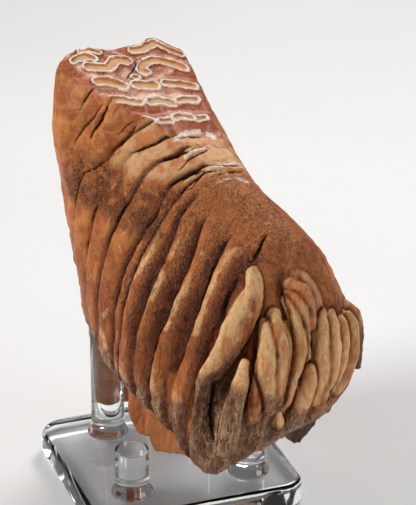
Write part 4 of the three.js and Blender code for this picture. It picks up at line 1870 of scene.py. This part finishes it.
@dataclass(frozen=True)
class FossilFinish:
    """Brown fossil dentine and cementum with polished enamel."""

    warm: Row = colour("B8692F")
    deep: Row = colour("86411A")
    light: Row = colour("D39352")
    grain_brown: Row = colour("C87C46")
    grain_dark: Row = colour("6A3214")
    # Dark brown for the painted shade in grooves and hollows, and for the crackle lines and the dark lines
    # beside the enamel.
    dark_grime_and_shade: Row = colour("300F05")
    tan: Row = colour("C99A68")
    cream: Row = colour("E6B880")
    ivory: Row = colour("F0D2A6")
    stain: Row = colour("C06C30")
    brown: Row = colour("8F4E26")
    umber: Row = colour("7A3C1A")
    grey: Row = colour("C8A07A")
    grey_dark: Row = colour("68402A")
    skirt: Row = colour("AC683A")
    shade: Row = colour("3A2416")
    cement: Row = colour("9A4C28")
    # Pale cement, standing partly for painted sheen.
    pale_cement_and_sheen: Row = colour("E0B49C")
    dentine: Row = colour("B98C58")
    enamel: Row = colour("E3D6C8")
    bone: Row = colour("7E4E30")
    crack: Row = colour("200D05")
    gloss: float = 0.28

    def material(self) -> bpy.types.Material:
        """Return the finish, wired up."""
        return FossilBench(self).wire()


class FossilBench(NodeBench):
    """The fossil's material being wired up."""

    def __init__(self, look: FossilFinish) -> None:
        """Add the noises, and break up the edges of the cracks and of the enamel.

        Args:
            look: The finish.
        """
        super().__init__("fossil")
        self.look = look
        self.space = self.object_space()
        self.blotch = self.noise(self.space, 42, 5, 0.8, 0.6)
        self.mottle = self.noise(self.space, 150, 5, 0.6, 0.6)
        self.speck = self.noise(self.space, 520, 3, 2.2, 0.6)
        self.grit = self.noise(self.space, 1500, 2)
        self.fibre = self.noise(self.leaned(0.16), 430, 4, 0.5)
        self.wrinkle = self.noise(self.leaned(0.34), 620, 3, 1.4, 0.6)
        self.leather = self.noise(self.leaned(0.7), 700, 2, 1.6, 0.6)
        self.crackle = self._crackle()
        self.cracks = self.rough(self.mask(Mark.CRACK), self.grit, 0.5, 4.0)
        self.enamel = self.rough(self.mask(Mark.ENAMEL), self.grit, 0.9, 2.5)

    def wire(self) -> bpy.types.Material:
        """Wire up the finish.

        Returns:
            The material.
        """
        look = self.look
        tone = self._dirty_tone(self._finger_tone(self._side_tone()))
        tone = self._worn_tone(tone)
        self.put(self.shader, "Base Color", self.mix(self.cracks, tone, look.crack))
        polish = self.math("MAXIMUM", self.enamel, self.mask(Mark.CREAM))
        polish = self.math("MAXIMUM", self.mask(Mark.CEMENT), polish)
        rough = self.span(self.mottle, 0.3, 0.7, 0.34, 0.5)
        rough = self.math("SUBTRACT", rough, self.math("MULTIPLY", polish, 0.2))
        rough = self.math("ADD", rough, self.math("MULTIPLY", self.cracks, 0.45))
        self.put(self.shader, "Roughness", rough)
        self.put(self.shader, "Specular IOR Level", look.gloss)
        bump = self.bump(self.cracks, 1.0, -0.0012, self._relief())
        self.put(self.shader, "Normal", self.bump(self.grit, 0.7, 0.0003, bump))
        return self.material

    def _crackle(self) -> Socket:
        """Lay a net of long fine cracks.

        Returns:
            The distance to the nearest crack.
        """
        bend = (0.012, 0.012, 0.012)
        bent = self.add("ShaderNodeVectorMath", {0: self.mottle, 1: bend}, operation="MULTIPLY")
        place = self.add("ShaderNodeVectorMath", {0: self.leaned(0.24), 1: bent.outputs[0]},
                         operation="ADD")
        net = self.add("ShaderNodeTexVoronoi", {"Vector": place.outputs[0], "Scale": 105.0},
                       feature="DISTANCE_TO_EDGE")
        left_out = self.span(self.mottle, 0.44, 0.6, 0.06, 0.0)
        return self.math("ADD", net.outputs["Distance"], left_out)

    def _side_tone(self) -> Socket:
        """Mix the colour of the crown's sides, darkened in blotches low down as painted shade, and crackled
        there.

        Returns:
            The colour.
        """
        look = self.look
        tone = self.mix(self.span(self.blotch, 0.36, 0.6, 0.25, 1.0), look.deep, look.warm)
        tone = self.mix(self.span(self.mottle, 0.46, 0.74, 0, 0.7), tone, look.light)
        tone = self.mix(self.span(self.mottle, 0.5, 0.26, 0, 0.7), tone, look.deep)
        tan = self.mix(self.span(self.mottle, 0.38, 0.54), look.warm, look.tan)
        tone = self.mix(self.rough(self.mask(Mark.TAN), self.mottle, 0.9, 1.8), tone, tan)
        granular = self.mix(self.span(self.leather, 0.36, 0.56), look.grain_dark, look.grain_brown)
        granular = self.mix(self.span(self.blotch, 0.48, 0.66, 0, 0.5), granular, look.warm)
        granular = self.mix(self.span(self.mottle, 0.48, 0.34, 0, 0.45), granular, look.grain_dark)
        tone = self.mix(self.rough(self.mask(Mark.GRAIN), self.mottle, 1.4, 1.3), tone, granular)
        low_shade_crackle = self.mask(Mark.AGED)
        # Darker blotches low on the side are painted shade; the crackle lines are real.
        dark = self.math("MULTIPLY", low_shade_crackle, self.span(self.blotch, 0.6, 0.4, 0.2, 0.7))
        lines = self.math("MULTIPLY", low_shade_crackle, self.span(self.crackle, 0.03, 0.0, 0, 0.4))
        return self.mix(lines, self.mix(dark, tone, look.deep), look.dark_grime_and_shade)

    def _finger_tone(self, tone: Socket) -> Socket:
        """Lay the cream, the fingers' brown and the low end's grey over a colour.

        Args:
            tone: The colour.

        Returns:
            The new colour.
        """
        look = self.look
        broad = self.noise(self.leaned(0.4), 150, 4, 0.8, 0.6)
        pale = self.mix(self.span(broad, 0.47, 0.66, 0, 0.75), look.cream, look.stain)
        pale = self.mix(self.span(broad, 0.42, 0.3, 0, 0.5), pale, look.ivory)
        thread = self.noise(self.leaned(0.12), 640, 3, 0.5)
        pale = self.mix(self.span(thread, 0.44, 0.34, 0, 0.4), pale, look.brown)
        streaks = self.math("MULTIPLY", self.span(self.fibre, 0.42, 0.6), 0.7)
        # The brown mask holds each finger's stain and the painted shade on the big finger's right side.
        stain_and_shade = self.span(self.mottle, 0.3, 0.6, 0.5, 1.15)
        stain_and_shade = self.math("MULTIPLY", self.mask(Mark.BROWN), stain_and_shade)
        pale = self.mix(stain_and_shade, pale, self.mix(streaks, look.umber, look.stain))
        tone = self.mix(self.rough(self.mask(Mark.CREAM), self.mottle, 0.8, 2.6), tone, pale)
        ash = self.mix(self.span(self.wrinkle, 0.4, 0.57), look.grey_dark, look.grey)
        # The fibre mask darkens the fibres' valleys as painted shade.
        ash = self.mix(self.math("MULTIPLY", self.mask(Mark.FIBRE), 0.7), ash, look.grey_dark)
        ash = self.mix(self.span(self.mottle, 0.52, 0.68, 0, 0.25), ash, look.stain)
        return self.mix(self.rough(self.mask(Mark.GREY), self.fibre, 0.8, 1.5), tone, ash)

    def _dirty_tone(self, tone: Socket) -> Socket:
        """Lay the painted shade and grime, the smooth skirt with the painted shade on it and on the far
        plate, and the fine grit over a colour.

        Args:
            tone: The colour.

        Returns:
            The new colour.
        """
        look = self.look
        shade_grime_tone = self.mix(self.span(self.leather, 0.42, 0.64), look.dark_grime_and_shade, look.deep)
        # Painted shade in the grooves, the hollows and beside the fingers.
        tone = self.mix(self.rough(self.mask(Mark.DUSK), self.mottle, 0.5, 1.5), tone, shade_grime_tone)
        skirt = self.mix(self.span(self.mottle, 0.5, 0.8, 0, 0.4), look.skirt, look.deep)
        tone = self.mix(self.mask(Mark.SKIRT), tone, skirt)
        tone = self.mix(self.mask(Mark.SHADE), tone, look.shade)
        return self.mix(self.span(self.grit, 0.5, 0.3, 0, 0.35), tone, look.deep)

    def _worn_tone(self, tone: Socket) -> Socket:
        """Lay the chewing face's cement, dentine and enamel over a colour.

        Args:
            tone: The colour.

        Returns:
            The new colour.
        """
        look = self.look
        # The pale patches are partly painted sheen.
        cement = self.mix(self.span(self.blotch, 0.5, 0.66), look.cement, look.pale_cement_and_sheen)
        cement = self.mix(self.span(self.speck, 0.46, 0.34, 0, 0.6), cement, look.deep)
        tone = self.mix(self.mask(Mark.CEMENT), tone, cement)
        dentine = self.mix(self.span(self.mottle, 0.46, 0.7, 0, 0.7), look.dentine, look.stain)
        tone = self.mix(self.mask(Mark.DENTINE), tone, dentine)
        crinkle = self.noise(self.space, 800, 2, 2.5)
        line = self.math("ABSOLUTE", self.math("SUBTRACT", crinkle, 0.5), 0.0)
        pale = self.mix(self.span(line, 0.06, 0.01, 0, 0.7), look.enamel, look.bone)
        tone = self.mix(self.enamel, tone, pale)
        rim = self.math("MULTIPLY", self.rough(self.mask(Mark.RIM), self.speck, 0.9, 2.5), 0.5)
        return self.mix(rim, tone, look.dark_grime_and_shade)

    def _relief(self) -> Socket:
        """Stack the grain's, the fibres', the crackle's and the general fine relief.

        Returns:
            The bumps' normal.
        """
        grain = self.math("ADD", self.math("MULTIPLY", self.mask(Mark.GRAIN), 0.0026), 0.0003)
        bump = self.bump(self.leather, 0.9, grain)
        ash = self.math("MULTIPLY", self.mask(Mark.GREY), 0.003)
        bump = self.bump(self.wrinkle, 0.9, ash, bump)
        cream = self.math("MULTIPLY", self.mask(Mark.CREAM), 0.0002)
        bump = self.bump(self.fibre, 0.5, cream, bump)
        dip = self.math("MULTIPLY", self.mask(Mark.AGED), 0.0009)
        bump = self.bump(self.span(self.crackle, 0.0, 0.08), 0.9, dip, bump)
        return self.bump(self.mottle, 0.6, 0.0014, bump)


@dataclass(frozen=True)
class AcrylicFinish:
    """Clear polished acrylic."""

    tint: Row = (0.985, 0.992, 1.0, 1.0)
    ior: float = 1.49
    # How many ripples and patches of haze there are to a metre.
    ripple: float = 45
    haze: float = 260

    def material(self) -> bpy.types.Material:
        """Wire up the finish, with the faint unevenness of flame polishing.

        Returns:
            The material.
        """
        bench = NodeBench("acrylic")
        space = bench.object_space()
        ripple = bench.noise(space, self.ripple, 2)
        haze = bench.noise(space, self.haze, 3)
        bench.put(bench.shader, "Base Color", self.tint)
        bench.put(bench.shader, "IOR", self.ior)
        bench.put(bench.shader, "Transmission Weight", 1.0)
        bench.put(bench.shader, "Roughness", bench.span(haze, 0.4, 0.75, 0.0, 0.05))
        bench.put(bench.shader, "Normal", bench.bump(ripple, 0.06, 0.0006))
        return bench.material


# ---------- the stand ----------
# Heights in metres that differ by less are the same.
LEVEL = 1e-6


def new_piece(name: str) -> Piece:
    """Name the primitive just added.

    Args:
        name: Its name.

    Returns:
        The primitive.
    """
    piece = bpy.context.active_object
    piece.name = name
    piece.data.name = name
    return piece


def settle(piece: Piece) -> None:
    """Put a piece's place into its mesh and point its faces outwards.

    Args:
        piece: The piece.
    """
    select_only(piece)
    bpy.ops.object.transform_apply(location=True, rotation=True, scale=True)
    bpy.ops.object.mode_set(mode="EDIT")
    bpy.ops.mesh.select_all(action="SELECT")
    bpy.ops.mesh.normals_make_consistent(inside=False)
    bpy.ops.object.mode_set(mode="OBJECT")


@dataclass(frozen=True)
class BaseBlock:
    """The thick clear block under the pegs."""

    width: float = 124.0
    depth: float = 119.0
    thickness: float = 16.0
    corner: float = 14.0
    edge: float = 4.0

    def build(self, finish: bpy.types.Material) -> Piece:
        """Model the block from a box with rounded corners and edges.

        Args:
            finish: Its material.

        Returns:
            The block.
        """
        bpy.ops.object.select_all(action="DESELECT")
        bpy.ops.mesh.primitive_cube_add(size=1, location=(0, 0, self.thickness / 2 * MM))
        block = new_piece("stand_block")
        block.scale = (self.width * MM, self.depth * MM, self.thickness * MM)
        settle(block)
        start_choice("EDGE")
        mesh = block.data
        for edge in mesh.edges:
            a, b = (mesh.vertices[v].co for v in edge.vertices)
            edge.select = abs(a.z - b.z) > self.thickness / 2 * MM
        bpy.ops.object.mode_set(mode="EDIT")
        bpy.ops.mesh.bevel(offset=self.corner * MM, segments=12, affect="EDGES")
        bpy.ops.mesh.select_all(action="DESELECT")
        bpy.ops.object.mode_set(mode="OBJECT")
        for edge in mesh.edges:
            a, b = (mesh.vertices[v].co for v in edge.vertices)
            edge.select = abs(a.z - b.z) < LEVEL
        bpy.ops.object.mode_set(mode="EDIT")
        bpy.ops.mesh.bevel(offset=self.edge * MM, segments=6, affect="EDGES")
        bpy.ops.object.mode_set(mode="OBJECT")
        settle(block)
        bpy.ops.object.shade_smooth_by_angle(angle=math.radians(30))
        mesh.materials.append(finish)
        return block


@dataclass(frozen=True)
class Peg:
    """A clear peg with a flared foot: its place, and its height above the block."""

    at: tuple[float, float]
    height: float
    base: float = 16.0
    radius: float = 9.5
    # The foot's flare: heights above the block, each with the radius there.
    flare: tuple[Row, ...] = ((1.2, 11.8), (2.6, 11.3), (4.2, 10.4), (5.5, 9.8), (7.0, 9.5))
    edge: float = 0.56
    glue_gap: float = 0.05
    seat_gap: float = 0.3
    sides: int = 72

    def top(self) -> float:
        """Return the height of the peg's top face."""
        return self.base + self.height

    def build(self, name: str, finish: bpy.types.Material) -> Piece:
        """Model the peg from a cylinder with a flared foot and a softened top.

        Args:
            name: Its name.
            finish: Its material.

        Returns:
            The peg.
        """
        (slab, radius), *flare = self.flare
        bpy.ops.object.select_all(action="DESELECT")
        bpy.ops.mesh.primitive_cylinder_add(
            vertices=self.sides, radius=radius * MM, depth=slab * MM,
            location=(self.at[0] * MM, self.at[1] * MM, (self.base + self.glue_gap + slab / 2) * MM),
        )
        peg = new_piece(name)
        settle(peg)
        height = self.glue_gap + slab
        for target, wide in (*flare, (self.height, self.radius)):
            self._extrude_top(peg, target - height, wide / radius)
            height, radius = target, wide
        self._round_rims(peg)
        settle(peg)
        bpy.ops.object.shade_smooth_by_angle(angle=math.radians(35))
        peg.data.materials.append(finish)
        return peg

    def _extrude_top(self, peg: Piece, rise: float, scale: float) -> None:
        """Extrude the top face up and scale it about the peg's axis.

        Args:
            peg: The peg.
            rise: How far up, in mm.
            scale: How many times wider it becomes.
        """
        select_only(peg)
        mesh = peg.data
        start_choice("FACE")
        top = max(mesh.polygons, key=lambda face: face.center.z if face.normal.z > 0.9 else -1.0)
        top.select = True
        bpy.ops.object.mode_set(mode="EDIT")
        bpy.ops.mesh.extrude_region_move(TRANSFORM_OT_translate={"value": (0, 0, rise * MM)})
        centre = (self.at[0] * MM, self.at[1] * MM, 0)
        bpy.ops.transform.resize(value=(scale, scale, 1), center_override=centre)
        bpy.ops.object.mode_set(mode="OBJECT")

    def _round_rims(self, peg: Piece) -> None:
        """Bevel the rims of the top and of the foot.

        Args:
            peg: The peg.
        """
        select_only(peg)
        mesh = peg.data
        start_choice("EDGE")
        heights = [v.co.z for v in mesh.vertices]
        ends = (min(heights), max(heights))
        for edge in mesh.edges:
            a, b = (mesh.vertices[v].co.z for v in edge.vertices)
            edge.select = any(abs(a - end) < LEVEL and abs(b - end) < LEVEL for end in ends)
        bpy.ops.object.mode_set(mode="EDIT")
        bpy.ops.mesh.bevel(offset=self.edge * MM, segments=4, affect="EDGES")
        bpy.ops.object.mode_set(mode="OBJECT")


def peg_set() -> dict[str, Peg]:
    """Return the stand's pegs by node name."""
    return {
        "peg_rear_left": Peg((-26, 33.5), 72),
        "peg_rear_right": Peg((26, 33.5), 69),
        "peg_front_left": Peg((-34, -34), 28),
        "peg_front_right": Peg((35, -34), 48),
    }


# ---------- the studio ----------
@dataclass(frozen=True)
class Studio:
    """A pale floor, soft lights and the camera."""

    azimuth: float = -20.0
    elevation: float = 27.0
    distance: float = 1.603
    lens: float = 200.0
    aim_right: float = 0.0218
    aim_up: float = 0.1138
    aim_from: float = 0.016

    def build(self) -> None:
        """Make the floor, the lights and the camera."""
        self._floor()
        self._lights()
        self._camera()

    def _floor(self) -> None:
        """Lay a plain pale floor."""
        bpy.ops.object.select_all(action="DESELECT")
        bpy.ops.mesh.primitive_plane_add(size=8, location=(0, 0, -0.0005))
        floor = new_piece("floor")
        settle(floor)
        bench = NodeBench("floor")
        shade = bench.noise(bench.object_space(), 3, 2)
        tone = bench.mix(bench.span(shade, 0.3, 0.7), (0.68, 0.67, 0.66, 1), (0.72, 0.71, 0.70, 1))
        bench.put(bench.shader, "Base Color", tone)
        bench.put(bench.shader, "Roughness", 0.55)
        floor.data.materials.append(bench.material)

    def _lights(self) -> None:
        """Hang the soft boxes and set the room's light."""
        boxes = (
            ("key", (-1.15, 0.05, 1.05), 0.5, 20.0),
            ("back", (0.62, 0.62, 1.1), 0.55, 13.0),
            ("fill", (1.1, -1.2, 0.7), 0.9, 10.5),
        )
        for name, place, size, power in boxes:
            light = bpy.data.lights.new(name, "AREA")
            light.shape = "SQUARE"
            light.size = size
            light.energy = power
            lamp = bpy.data.objects.new(name, light)
            lamp.location = place
            towards = Vector((0, 0, 0.12)) - Vector(place)
            lamp.rotation_euler = towards.to_track_quat("-Z", "Y").to_euler()
            bpy.context.scene.collection.objects.link(lamp)
        world = bpy.data.worlds.new("room")
        world.use_nodes = True
        background = world.node_tree.nodes["Background"]
        background.inputs["Color"].default_value = (1.0, 1.0, 1.0, 1)
        background.inputs["Strength"].default_value = 0.13
        bpy.context.scene.world = world
        bpy.context.scene.view_settings.view_transform = "Standard"

    def _camera(self) -> None:
        """Place the camera."""
        az, el = math.radians(self.azimuth), math.radians(self.elevation)
        right = Vector((math.cos(az), math.sin(az), 0))
        back = Vector((math.sin(az) * math.cos(el), -math.cos(az) * math.cos(el), math.sin(el)))
        up = back.cross(right)
        target = Vector((0, 0, self.aim_from)) + right * self.aim_right + up * self.aim_up
        camera = bpy.data.cameras.new("camera")
        camera.lens = self.lens
        camera.sensor_width = 36
        holder = bpy.data.objects.new("camera", camera)
        place = target + back * self.distance
        holder.matrix_world = Matrix.Translation(place) @ Matrix((right, up, back)).transposed().to_4x4()
        bpy.context.scene.collection.objects.link(holder)
        bpy.context.scene.camera = holder


def join_frame(piece: Piece, node: str) -> None:
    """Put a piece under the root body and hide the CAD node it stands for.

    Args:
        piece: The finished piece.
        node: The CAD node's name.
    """
    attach(piece, "root")
    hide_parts(node)
    log.info("%s: %d faces stand for %s", piece.name, len(piece.data.polygons), node)


def write_sizes() -> None:
    """Bring the scene's placements up to date."""

    bpy.context.view_layer.update()


def main() -> None:
    """Build the studio, the stand and the tooth in order."""
    logging.basicConfig(level=logging.INFO, format="%(name)s: %(message)s")
    Studio().build()
    clear = AcrylicFinish().material()
    join_frame(BaseBlock().build(clear), "base_block")
    pegs = peg_set()
    for name, peg in pegs.items():
        join_frame(peg.build(f"clear_{name}", clear), name)
    join_frame(Molar().build(pegs), "molar")
    write_sizes()


if __name__ == "__main__":
    main()
